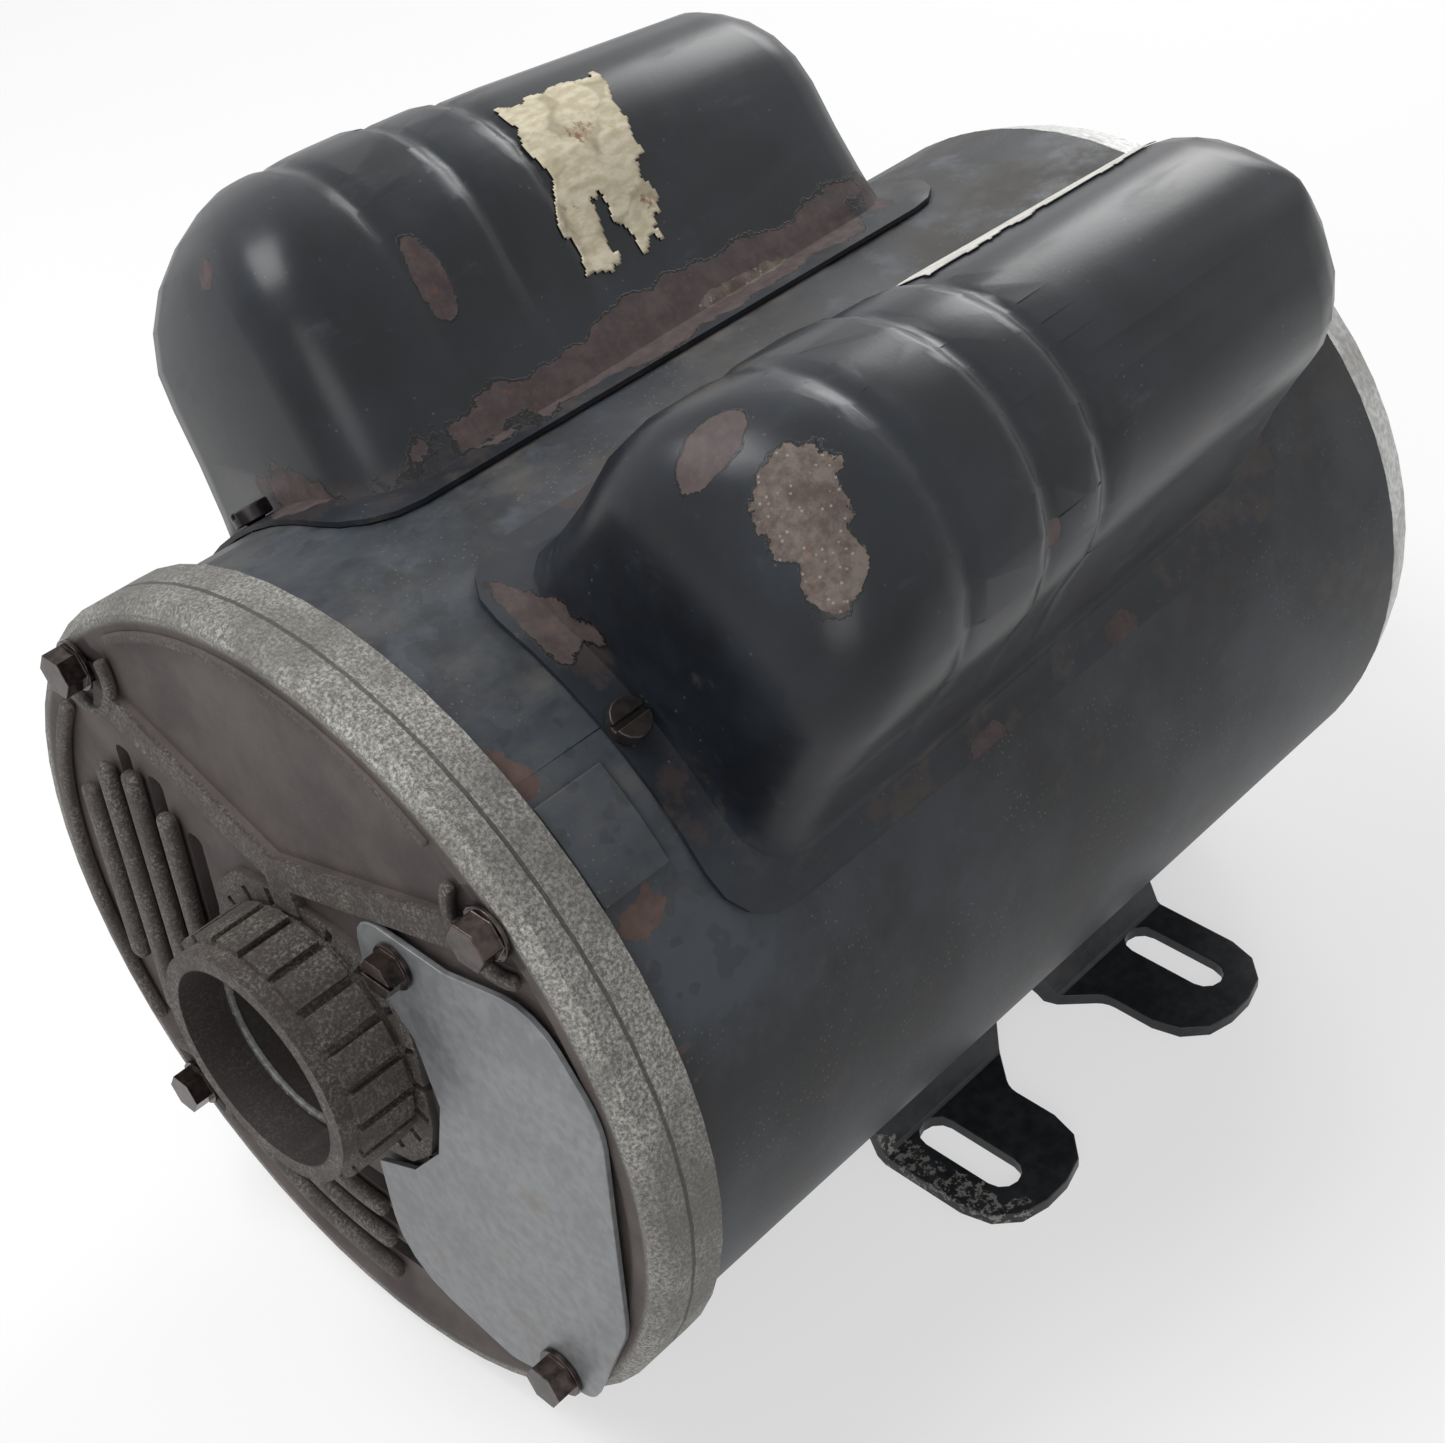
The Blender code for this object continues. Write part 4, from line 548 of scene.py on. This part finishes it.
# %% The shared recipe
def mottled(name, dark, light, roughness, metallic, grain, depth, stretch=(1.0, 1.0, 1.0), stain=None):
    finish = Finish(name, Metallic=metallic)
    fine = finish.noise(grain, 4.0, 0.6, finish.stretched(stretch))
    broad = finish.noise(55.0, 5.0, 0.62)
    colour = finish.mix((fine * 0.5 + broad * 0.5).step(0.38, 0.62), dark, light)
    if stain:
        colour = finish.mix(broad.step(0.56, 0.70) * 0.7, colour, stain)
    finish.set(Base_Color=colour, Roughness=roughness + broad * 0.16 + fine * 0.08 - 0.12)
    finish.bump(fine, 0.4, depth)
    return finish.material


ZINC = mottled(
    "dull_zinc", (0.165, 0.172, 0.178), (0.235, 0.242, 0.248), 0.44, 0.45, 420.0, 0.00006,
    stain=(0.165, 0.150, 0.135),
)
BOLT_STEEL = mottled(
    "oxidised_bolt", (0.020, 0.014, 0.013), (0.075, 0.058, 0.053), 0.22, 0.80, 520.0, 0.00010,
    stain=(0.045, 0.026, 0.021),
)
SCREW_STEEL = mottled(
    "blackened_screw", (0.010, 0.009, 0.009), (0.034, 0.028, 0.025), 0.34, 0.55, 520.0, 0.00010
)
BRIGHT_STEEL = mottled(
    "ground_steel", (0.46, 0.46, 0.47), (0.60, 0.60, 0.61), 0.30, 1.0, 900.0, 0.00003,
    stretch=(6.0, 1.0, 1.0), stain=(0.30, 0.26, 0.22),
)
LAMINATION = mottled(
    "lamination_stack", (0.11, 0.11, 0.12), (0.21, 0.21, 0.22), 0.52, 0.8, 1300.0, 0.00010,
    stretch=(4.0, 0.3, 0.3),
)
COPPER = mottled(
    "varnished_winding", (0.050, 0.022, 0.012), (0.135, 0.060, 0.030), 0.42, 0.4, 1100.0, 0.00030,
    stretch=(1.5, 0.5, 0.5),
)
PHENOLIC = mottled(
    "moulded_phenolic", (0.020, 0.018, 0.017), (0.045, 0.040, 0.037), 0.46, 0.0, 700.0, 0.00006
)
CAN = mottled("drawn_can", (0.42, 0.43, 0.45), (0.55, 0.56, 0.58), 0.34, 0.9, 600.0, 0.00004)
BOARD = mottled("fibre_board", (0.16, 0.070, 0.030), (0.28, 0.130, 0.055), 0.58, 0.0, 800.0, 0.00008)
print("shared finishes: 9")

# %% [markdown]
# ## Base paint
# The base is thick steel under gloss black. Two ragged spots at the near foot say where the paint is chipped,
# and a fine noise breaks each spot into flakes.

# %% Base paint with chipped edges
def base_paint():
    finish = Finish("chipped_base_paint", Specular_IOR_Level=0.40)
    fine = finish.noise(380.0, 4.0, 0.6)
    broad = finish.noise(55.0, 5.0, 0.62)
    flakes = finish.noise(520.0, 6.0, 0.75).step(0.52, 0.56)
    near_foot = Vector((BASE_MIDDLE_X - 0.0490, BASE_LOW.y + 0.0200, 0.0040))
    near_toe = Vector((BASE_MIDDLE_X - 0.0445, BASE_LOW.y + 0.0030, 0.0030))
    zone = finish.spot(near_foot, (0.0052, 0.0190, 0.0060), 0.5, 200.0)
    zone = zone.most(finish.spot(near_toe, (0.0060, 0.0034, 0.0040), 0.5, 200.0))
    chips = zone * flakes
    mottle = (fine * 0.5 + broad * 0.5).step(0.38, 0.62)
    paint = finish.mix(mottle, (0.010, 0.011, 0.013), (0.026, 0.029, 0.034))
    paint = finish.mix(broad.step(0.56, 0.70) * 0.6, paint, (0.060, 0.056, 0.052))
    finish.set(
        Base_Color=finish.mix(chips, paint, (0.300, 0.285, 0.260)),
        Roughness=0.30 + broad * 0.16 + fine * 0.08 + chips * 0.20,
    )
    finish.bump(fine * 0.5 - chips, 0.4, 0.00020)
    return finish.material


BASE_PAINT = base_paint()
print("base paint:", len(BASE_PAINT.node_tree.nodes), "nodes")

# %% [markdown]
# ## Pressed rings
# Each cover has a shallow groove of its own and two pressed steps, with a small groove just past each step.
# The working model is smooth there. We cut extra loops across the cover with bisect_plane, then move its
# points a little towards the line that the vault bends about, so the rings are real geometry.

# %% Pressed rings on the covers
COVER_ANGLE = 35.3
VAULT_RADIUS = 0.0300
VAULT_TOP = 0.1396
STEP_PLACES = (START_LOW.x + 0.0585, START_LOW.x + 0.0755)
GROOVE_PLACE = START_LOW.x + 0.0385
STEP_WIDTH = 0.0030
STEP_DEPTH = 0.0009
STEP_GROOVE_SHIFT = STEP_WIDTH * 0.7
GROOVE_WIDTH = 0.0022
GROOVE_DEPTH = 0.0007
RING_REACH = 0.0050
RING_LOOPS = 11
FADE_START = 0.008
FADE_LENGTH = 0.020
AXIS_CLEARANCE = 0.005


def smoothstep(value):
    value = max(0.0, min(1.0, value))
    return value * value * (3.0 - 2.0 * value)


def vault_axis(side):
    """Line that the vault bends about, at x = 0. side is -1 for the start cover and 1 for the run cover."""
    return around(0.0, side * COVER_ANGLE, VAULT_TOP - VAULT_RADIUS)


def pressed_in(x):
    """How far the skin moves inward at x: each step stays in, with a small groove just past it."""
    total = 0.0
    for place in STEP_PLACES:
        total += STEP_DEPTH * smoothstep((x - place) / STEP_WIDTH + 0.5)
        total += GROOVE_DEPTH * math.exp(-((x - place - STEP_GROOVE_SHIFT) / GROOVE_WIDTH) ** 2)
    return total + GROOVE_DEPTH * math.exp(-((x - GROOVE_PLACE) / GROOVE_WIDTH) ** 2)


def press_rings(side):
    def shape(work):
        for place in (GROOVE_PLACE, *STEP_PLACES):
            for loop in range(RING_LOOPS):
                x = place + RING_REACH * (loop * 2.0 / (RING_LOOPS - 1.0) - 1.0)
                geometry = list(work.verts) + list(work.edges) + list(work.faces)
                bmesh.ops.bisect_plane(
                    work, geom=geometry, dist=MERGE_DISTANCE, plane_co=(x, 0.0, 0.0), plane_no=(1.0, 0.0, 0.0)
                )
        axis = vault_axis(side)
        for vertex in work.verts:
            reach = (vertex.co - Vector((vertex.co.x, 0.0, AXIS_HEIGHT))).length
            height = smoothstep((reach - SHELL_RADIUS - FADE_START) / FADE_LENGTH)
            towards = Vector((0.0, axis.y - vertex.co.y, axis.z - vertex.co.z))
            if towards.length > AXIS_CLEARANCE:
                vertex.co += towards.normalized() * (pressed_in(vertex.co.x) * height)

    return shape


SHAPES = {"start_capacitor_cover": press_rings(-1.0), "run_capacitor_cover": press_rings(1.0)}
print("steps at", [round(place, 4) for place in STEP_PLACES], "groove at", round(GROOVE_PLACE, 4))

# %% [markdown]
# ## The parts that show
# Now every part that the eye can reach gets its refined copy and its finish. Parts deep inside keep their
# working meshes and only take a better material, because nothing outside shows their edges.

# %% Refine the visible parts
SHOWN = (
    ("shell", SHELL_PAINT, "black_paint", 32.0),
    ("base_cradle", BASE_PAINT, "black_paint", 32.0),
    ("start_capacitor_cover", START_COVER_PAINT, "cover_paint", 44.0),
    ("run_capacitor_cover", RUN_COVER_PAINT, "cover_paint", 44.0),
    ("rear_end_shield", CASTING, "cast_aluminium", 30.0),
    ("drive_end_shield", BRIGHT_CASTING, "machined_aluminium", 30.0),
    ("terminal_cover", ZINC, "zinc_plate", 30.0),
    ("terminal_cover_screw", BOLT_STEEL, "oxidised_steel", 30.0),
    ("through_bolt_1", BOLT_STEEL, "oxidised_steel", 30.0),
    ("through_bolt_2", BOLT_STEEL, "oxidised_steel", 30.0),
    ("through_bolt_3", BOLT_STEEL, "oxidised_steel", 30.0),
    ("through_bolt_4", BOLT_STEEL, "oxidised_steel", 30.0),
    ("start_cover_screw", SCREW_STEEL, "oxidised_steel", 30.0),
    ("run_cover_screw", SCREW_STEEL, "oxidised_steel", 30.0),
    ("start_cover_rivet", BOLT_STEEL, "oxidised_steel", 30.0),
    ("run_cover_rivet", BOLT_STEEL, "oxidised_steel", 30.0),
    ("shaft", BRIGHT_STEEL, "bright_steel", 30.0),
    ("shaft_key", BRIGHT_STEEL, "bright_steel", 30.0),
    ("drive_winding", COPPER, "enamelled_copper", 30.0),
    ("rear_winding", COPPER, "enamelled_copper", 30.0),
)
REFINED = {}
for node, material, slot, angle in SHOWN:
    REFINED[node] = refine(node, material, angle, shape=SHAPES.get(node))
print("refined:", len(REFINED))

# %% Finish the hidden parts
HIDDEN = {
    "bright_steel": BRIGHT_STEEL,
    "oxidised_steel": BOLT_STEEL,
    "lamination_steel": LAMINATION,
    "machined_aluminium": BRIGHT_CASTING,
    "phenolic": PHENOLIC,
    "capacitor_can": CAN,
    "board": BOARD,
}
for entry in frame["record"]["subparts"]:
    node = entry["node"]
    if node not in REFINED:
        NODES[node].data.materials.clear()
        NODES[node].data.materials.append(HIDDEN[entry["material_slot"]])
print("hidden:", len(NODES) - len(REFINED))

# %% [markdown]
# ## Paper labels
# Two blank paper labels lie on the curved covers. One is a ragged cream remnant and the other is a long
# pale strip. Paper follows what it is glued to, so each label is a
# grid that is dropped onto the cover along lines towards the vault's axis, then given a thin wall.

# %% Paper
def paper(name, light, dark, stain_amount):
    finish = Finish(name, Specular_IOR_Level=0.3)
    fibre = finish.noise(520.0, 5.0, 0.6, finish.stretched((0.5, 1.0, 1.0)))
    crease = finish.cells(150.0)
    stain = finish.noise(120.0, 6.0, 0.7)
    colour = finish.mix(fibre.step(0.35, 0.65), dark, light)
    colour = finish.mix(crease.step(0.60, 0.75) * (stain_amount * 0.5), colour, (0.20, 0.16, 0.10))
    colour = finish.mix(stain.step(0.60, 0.70) * stain_amount, colour, (0.190, 0.075, 0.028))
    finish.set(Base_Color=colour, Roughness=0.72 + fibre * 0.12)
    finish.bump(fibre * 0.5 + crease, 0.5, 0.00025)
    return finish.material


CREAM_PAPER = paper("cream_paper", (0.66, 0.60, 0.46), (0.50, 0.44, 0.31), 0.85)
PALE_PAPER = paper("pale_paper", (0.72, 0.71, 0.67), (0.58, 0.57, 0.53), 0.25)
print("paper finishes: 2")

# %% Labels laid on the covers
PAPER_LIFT = 0.00025
PAPER_WALL = 0.00018
RAY_START = 0.060


def lay_label(name, cover, side, inside, x_range, turn_range, cells, material):
    """turn_range is in degrees about the vault's axis, from straight up towards the other cover."""
    depsgraph = bpy.context.evaluated_depsgraph_get()
    surface = BVHTree.FromObject(REFINED[cover], depsgraph)
    axis = vault_axis(side)
    work = bmesh.new()
    bmesh.ops.create_grid(work, x_segments=cells[0], y_segments=cells[1], size=0.5)
    outside = []
    for face in work.faces:
        middle = face.calc_center_median()
        if not inside(middle.x + 0.5, middle.y + 0.5):
            outside.append(face)
    bmesh.ops.delete(work, geom=outside, context="FACES")
    missed = []
    for vertex in work.verts:
        x = x_range[0] + (x_range[1] - x_range[0]) * (vertex.co.x + 0.5)
        degrees = turn_range[0] + (turn_range[1] - turn_range[0]) * (vertex.co.y + 0.5)
        turn = math.radians(degrees)
        outward = Vector((0.0, -side * math.sin(turn), math.cos(turn)))
        start = Vector((x, axis.y, axis.z)) + outward * RAY_START
        hit = surface.ray_cast(start, -outward)[0]
        if hit is None:
            missed.append(vertex)
        else:
            vertex.co = hit + outward * PAPER_LIFT
    bmesh.ops.delete(work, geom=missed, context="VERTS")
    work.normal_update()
    faces = list(work.faces)
    outward_sum = sum(face.normal.dot(face.calc_center_median() - axis) for face in faces)
    if outward_sum < 0.0:
        bmesh.ops.reverse_faces(work, faces=faces)
    mesh = bpy.data.meshes.new(name)
    work.to_mesh(mesh)
    work.free()
    made = link(name, mesh, material)
    shade(mesh, 60.0)
    wall = made.modifiers.new("wall", "SOLIDIFY")
    wall.thickness = PAPER_WALL
    wall.offset = 1.0
    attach(made, "motor_frame")
    print(name, len(mesh.polygons), "faces, missed", len(missed))
    return made


def torn(u, v):
    """Wide at the top edge, with two ragged tongues at the bottom."""
    rough = noise.noise(Vector((u * 6.0, v * 6.0, 0.3))) * 0.10
    rough += noise.noise(Vector((u * 22.0, v * 22.0, 1.7))) * 0.05
    left = 0.24 - 0.26 * v + rough * (0.4 + v)
    right = 1.0 - 0.36 * v ** 1.3 + rough * (0.4 + v)
    tongues = v < 0.70 + rough * 1.5 or abs(u - 0.37) > 0.07 + rough
    return left < u < right and tongues and v > 0.04 + rough * 0.4 and v < 0.98 + rough


def strip(u, v):
    """A long strip with slightly uneven edges."""
    rough = noise.noise(Vector((u * 14.0, v * 3.0, 5.1))) * 0.05
    return 0.02 + rough < v < 0.97 + rough and 0.01 < u < 0.985 + rough


LABELS = (
    (
        "torn_label", "run_capacitor_cover", 1.0, torn,
        (-0.0335, -0.0005), (11.0, 84.0), (72, 84), CREAM_PAPER,
    ),
    (
        "strip_label", "start_capacitor_cover", -1.0, strip,
        (-0.0270, 0.0400), (25.0, 72.0), (90, 44), PALE_PAPER,
    ),
)
for label in LABELS:
    lay_label(*label)

# %% [markdown]
# ## Lock tab
# A short flat tab lies on the shell beside the seam. It is a grid bent round the shell, with a thin wall and
# softened edges, under the same paint as the shell.

# %% Lock tab at the seam
TAB_ANGLES = (-37.0, -50.5)
TAB_LENGTH = 0.0150
TAB_WALL = 0.0012
TAB_START = X_SEAM + 0.0008
TAB_RADIUS = SHELL_RADIUS + 0.00005
work = bmesh.new()
bmesh.ops.create_grid(work, x_segments=6, y_segments=16, size=0.5)
for vertex in work.verts:
    degrees = TAB_ANGLES[0] + (TAB_ANGLES[1] - TAB_ANGLES[0]) * (vertex.co.y + 0.5)
    vertex.co = around(TAB_START + TAB_LENGTH * (vertex.co.x + 0.5), degrees, TAB_RADIUS)
work.normal_update()
if sum(face.normal.dot(face.calc_center_median() - AXIS) for face in work.faces) < 0.0:
    bmesh.ops.reverse_faces(work, faces=list(work.faces))
tab_mesh = bpy.data.meshes.new("lock_tab")
work.to_mesh(tab_mesh)
work.free()
lock_tab = link("lock_tab", tab_mesh, SHELL_PAINT)
shade(tab_mesh, 40.0)
tab_wall = lock_tab.modifiers.new("wall", "SOLIDIFY")
tab_wall.thickness = TAB_WALL
tab_wall.offset = 1.0
soften(lock_tab, 0.00045, 3)
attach(lock_tab, "motor_frame")
print("lock tab", round(TAB_LENGTH * 1000.0, 1), "mm long")

# %% [markdown]
# ## Cast bars, boss walls and the bore ring
# The rear casting has proud bars between its vents, and a low curved wall beside three of its four bolt
# seats.
# They are too fine for the working model, so they are added here. A straight bar is a cube with its edges
# bevelled round. A curved one is a small square spun about the shaft, and a boss wall is the same square
# spun partway about its bolt.

# %% Straight and spun bars
BAR_SINK = 0.0006
SPIN_STEP = 5.0
SIDE_BAR_SIZE = (0.0044, 0.0026)
LOWER_BAR_SIZE = (0.0040, 0.0024)
BOSS_WALL_RADIUS = 0.0096
BOSS_WALL_SIZE = (0.0026, 0.0015)
LEDGE_DEPTH = 0.0080


def finish_detail(name, work, material, width):
    bmesh.ops.remove_doubles(work, verts=work.verts, dist=MERGE_DISTANCE)
    bmesh.ops.recalc_face_normals(work, faces=work.faces)
    sharp = [edge for edge in work.edges if edge.calc_face_angle(0.0) > math.radians(50.0)]
    bmesh.ops.bevel(
        work,
        geom=sharp,
        affect="EDGES",
        offset=width,
        segments=3,
        profile=0.5,
        material=-1,
        clamp_overlap=True,
    )
    mesh = bpy.data.meshes.new(name)
    work.to_mesh(mesh)
    work.free()
    made = link(name, mesh, material)
    shade(mesh, 40.0)
    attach(made, "motor_frame")
    return made


def straight_bar(name, y, low, high, width, height):
    """Upright bar on the rear face at y, from low to high above the shaft axis."""
    work = bmesh.new()
    bmesh.ops.create_cube(work, size=1.0)
    bmesh.ops.scale(work, verts=work.verts, vec=(height + BAR_SINK, width, high - low))
    middle = Vector((X_FACE + (BAR_SINK - height) / 2.0, y, AXIS_HEIGHT + (low + high) / 2.0))
    bmesh.ops.translate(work, verts=work.verts, vec=middle)
    return finish_detail(name, work, CASTING, width * 0.32)


def spun_bar(name, centre, radius, start, end, width, height, material=CASTING, slot="cast_aluminium"):
    """Bar on the rear face, spun about an X line through centre, between two angles from straight up."""
    work = bmesh.new()
    bmesh.ops.create_grid(work, x_segments=1, y_segments=1, size=0.5)
    bmesh.ops.scale(work, verts=work.verts, vec=(height + BAR_SINK, width, 1.0))
    upright = Matrix.Rotation(math.pi / 2.0, 3, "X")
    bmesh.ops.rotate(work, verts=work.verts, cent=(0.0, 0.0, 0.0), matrix=upright)
    bmesh.ops.translate(work, verts=work.verts, vec=(centre.x + (BAR_SINK - height) / 2.0, 0.0, radius))
    first = Matrix.Rotation(-math.radians(start), 3, "X")
    bmesh.ops.rotate(work, verts=work.verts, cent=(0.0, 0.0, 0.0), matrix=first)
    bmesh.ops.translate(work, verts=work.verts, vec=(0.0, centre.y, centre.z))
    steps = max(8, round(abs(end - start) / SPIN_STEP))
    whole = abs(end - start) > 359.0
    bmesh.ops.spin(
        work,
        geom=list(work.verts) + list(work.edges) + list(work.faces),
        cent=(0.0, centre.y, centre.z),
        axis=(-1.0, 0.0, 0.0),
        angle=math.radians(end - start),
        steps=steps,
        use_merge=whole,
    )
    return finish_detail(name, work, material, width * 0.30)


SIDE_BARS = (
    (0.0375, -0.0400, 0.0290),
    (0.0465, -0.0410, 0.0345),
    (0.0555, -0.0330, 0.0320),
    (0.0640, -0.0230, 0.0225),
)
for order, (y, low, high) in enumerate(SIDE_BARS):
    straight_bar(f"side_bar_{order + 1}", y, low, high, *SIDE_BAR_SIZE)
face_centre = Vector((X_FACE, 0.0, AXIS_HEIGHT))
LOWER_BARS = ((0.0492, 146.0, 187.0), (0.0587, 146.0, 186.0), (0.0685, 147.0, 185.0))
for order, (radius, start, end) in enumerate(LOWER_BARS):
    spun_bar(f"lower_bar_{order + 1}", face_centre, radius, start, end, *LOWER_BAR_SIZE)
spun_bar("side_frame", face_centre, 0.0765, 57.0, 123.0, 0.0030, 0.0018)
spun_bar("top_frame", face_centre, 0.0790, -33.0, 33.0, 0.0022, 0.0008)
BOSSES = ((45.0, 150.0, 300.0), (-45.0, 60.0, 210.0), (135.0, 240.0, 390.0))
for order, (degrees, start, end) in enumerate(BOSSES):
    centre = around(X_FACE, degrees, BOLT_CIRCLE)
    spun_bar(f"boss_wall_{order + 1}", centre, BOSS_WALL_RADIUS, start, end, *BOSS_WALL_SIZE)
ledge = Vector((X_FACE - LEDGE_DEPTH, 0.0, AXIS_HEIGHT))
spun_bar("bore_ring", ledge, 0.0182, 0.0, 360.0, 0.0010, 0.0008, BRIGHT_CASTING, "machined_aluminium")
print("cast details:", len(SIDE_BARS) + len(LOWER_BARS) + len(BOSSES) + 3)

# %% [markdown]
# ## Camera, light and floor
# A long lens from above the rear corner shows both covers and the feet. The light is a big soft lamp from
# the upper left with a weaker one opposite, as in a plain studio. The floor is white only to the camera and
# to mirror-like surfaces, so that it keeps the shadow but throws no extra light upwards.

# %% Camera
CAMERA_PLACE = Vector((-0.29855, -0.27470, 0.39540))
CAMERA_HEADING = math.radians(45.86)
CAMERA_PITCH = math.radians(-38.24)
CAMERA_ROLL = math.radians(-4.90)
CAMERA_LENS = 58.56
CAMERA_SHIFT = (-0.0066, -0.0147)
SENSOR_WIDTH = 36.0

view = Vector((
    math.cos(CAMERA_PITCH) * math.cos(CAMERA_HEADING),
    math.cos(CAMERA_PITCH) * math.sin(CAMERA_HEADING),
    math.sin(CAMERA_PITCH),
))
level = view.cross(Vector((0.0, 0.0, 1.0))).normalized()
upright = level.cross(view)
right = level * math.cos(CAMERA_ROLL) + upright * math.sin(CAMERA_ROLL)
upper = upright * math.cos(CAMERA_ROLL) - level * math.sin(CAMERA_ROLL)
camera_data = bpy.data.cameras.new("camera")
camera_data.sensor_width = SENSOR_WIDTH
camera_data.lens = CAMERA_LENS
camera_data.shift_x, camera_data.shift_y = CAMERA_SHIFT
camera_data.clip_start = 0.01
camera = bpy.data.objects.new("camera", camera_data)
bpy.context.scene.collection.objects.link(camera)
turn = Matrix((right, upper, -view)).transposed().to_4x4()
camera.matrix_world = Matrix.Translation(CAMERA_PLACE) @ turn
bpy.context.scene.camera = camera
print("camera lens", camera_data.lens)

# %% Lamps
def lamp(name, place, size, power):
    data = bpy.data.lights.new(name, "AREA")
    data.size = size
    data.energy = power
    made = bpy.data.objects.new(name, data)
    bpy.context.scene.collection.objects.link(made)
    aim = AXIS - Vector(place)
    made.matrix_world = Matrix.Translation(place) @ aim.to_track_quat("-Z", "Y").to_matrix().to_4x4()
    return made


LAMPS = (
    ("key_lamp", (-0.45, 0.35, 1.10), 0.65, 9.5),
    ("fill_lamp", (-1.00, -0.85, 0.60), 0.80, 4.5),
    ("rim_lamp", (0.95, 0.40, 0.75), 0.50, 4.5),
)
for settings in LAMPS:
    lamp(*settings)
print("lamps:", len(LAMPS))

# %% Floor and world
FLOOR_WHITE = 0.58
FLOOR_SIZE = 4.0
WORLD_STRENGTH = 0.30
WHITE = (1.0, 1.0, 1.0)


def white_to_camera(tree, shader_output, target, white, amount=1.0):
    """What the camera sees, directly or mirrored, turns towards plain white by the amount."""
    path = tree.nodes.new("ShaderNodeLightPath")
    seen = tree.nodes.new("ShaderNodeMath")
    seen.operation = "MAXIMUM"
    tree.links.new(path.outputs["Is Camera Ray"], seen.inputs[0])
    tree.links.new(path.outputs["Is Glossy Ray"], seen.inputs[1])
    through = tree.nodes.new("ShaderNodeMath")
    through.operation = "MAXIMUM"
    tree.links.new(seen.outputs[0], through.inputs[0])
    tree.links.new(path.outputs["Is Transmission Ray"], through.inputs[1])
    share = tree.nodes.new("ShaderNodeMath")
    share.operation = "MULTIPLY"
    share.inputs[1].default_value = amount
    tree.links.new(through.outputs[0], share.inputs[0])
    mixer = tree.nodes.new("ShaderNodeMixShader")
    tree.links.new(share.outputs[0], mixer.inputs[0])
    tree.links.new(shader_output, mixer.inputs[1])
    tree.links.new(white.outputs[0], mixer.inputs[2])
    tree.links.new(mixer.outputs[0], target)


world = bpy.data.worlds.new("studio")
bpy.context.scene.world = world
world.use_nodes = True
back = world.node_tree.nodes["Background"]
back.inputs["Color"].default_value = (*WHITE, 1.0)
back.inputs["Strength"].default_value = WORLD_STRENGTH
bright = world.node_tree.nodes.new("ShaderNodeBackground")
bright.inputs["Color"].default_value = (*WHITE, 1.0)
bright.inputs["Strength"].default_value = 1.0
white_to_camera(
    world.node_tree,
    back.outputs[0],
    world.node_tree.nodes["World Output"].inputs["Surface"],
    bright,
)
work = bmesh.new()
bmesh.ops.create_grid(work, x_segments=2, y_segments=2, size=FLOOR_SIZE)
floor_mesh = bpy.data.meshes.new("floor")
work.to_mesh(floor_mesh)
work.free()
floor_finish = Finish("pale_floor", Roughness=0.9)
floor_tone = floor_finish.mix(floor_finish.noise(3.0), (0.93, 0.93, 0.93), (0.95, 0.95, 0.95))
floor_finish.set(Base_Color=floor_tone)
floor_glow = floor_finish.add("ShaderNodeEmission", {}, {"Color": WHITE, "Strength": 1.0})
floor_output = floor_finish.tree.nodes["Material Output"].inputs["Surface"]
white_to_camera(floor_finish.tree, floor_finish.shader.outputs[0], floor_output, floor_glow, FLOOR_WHITE)
floor = link("floor", floor_mesh, floor_finish.material)
bpy.context.scene.view_settings.view_transform = "Standard"
print("floor ready")
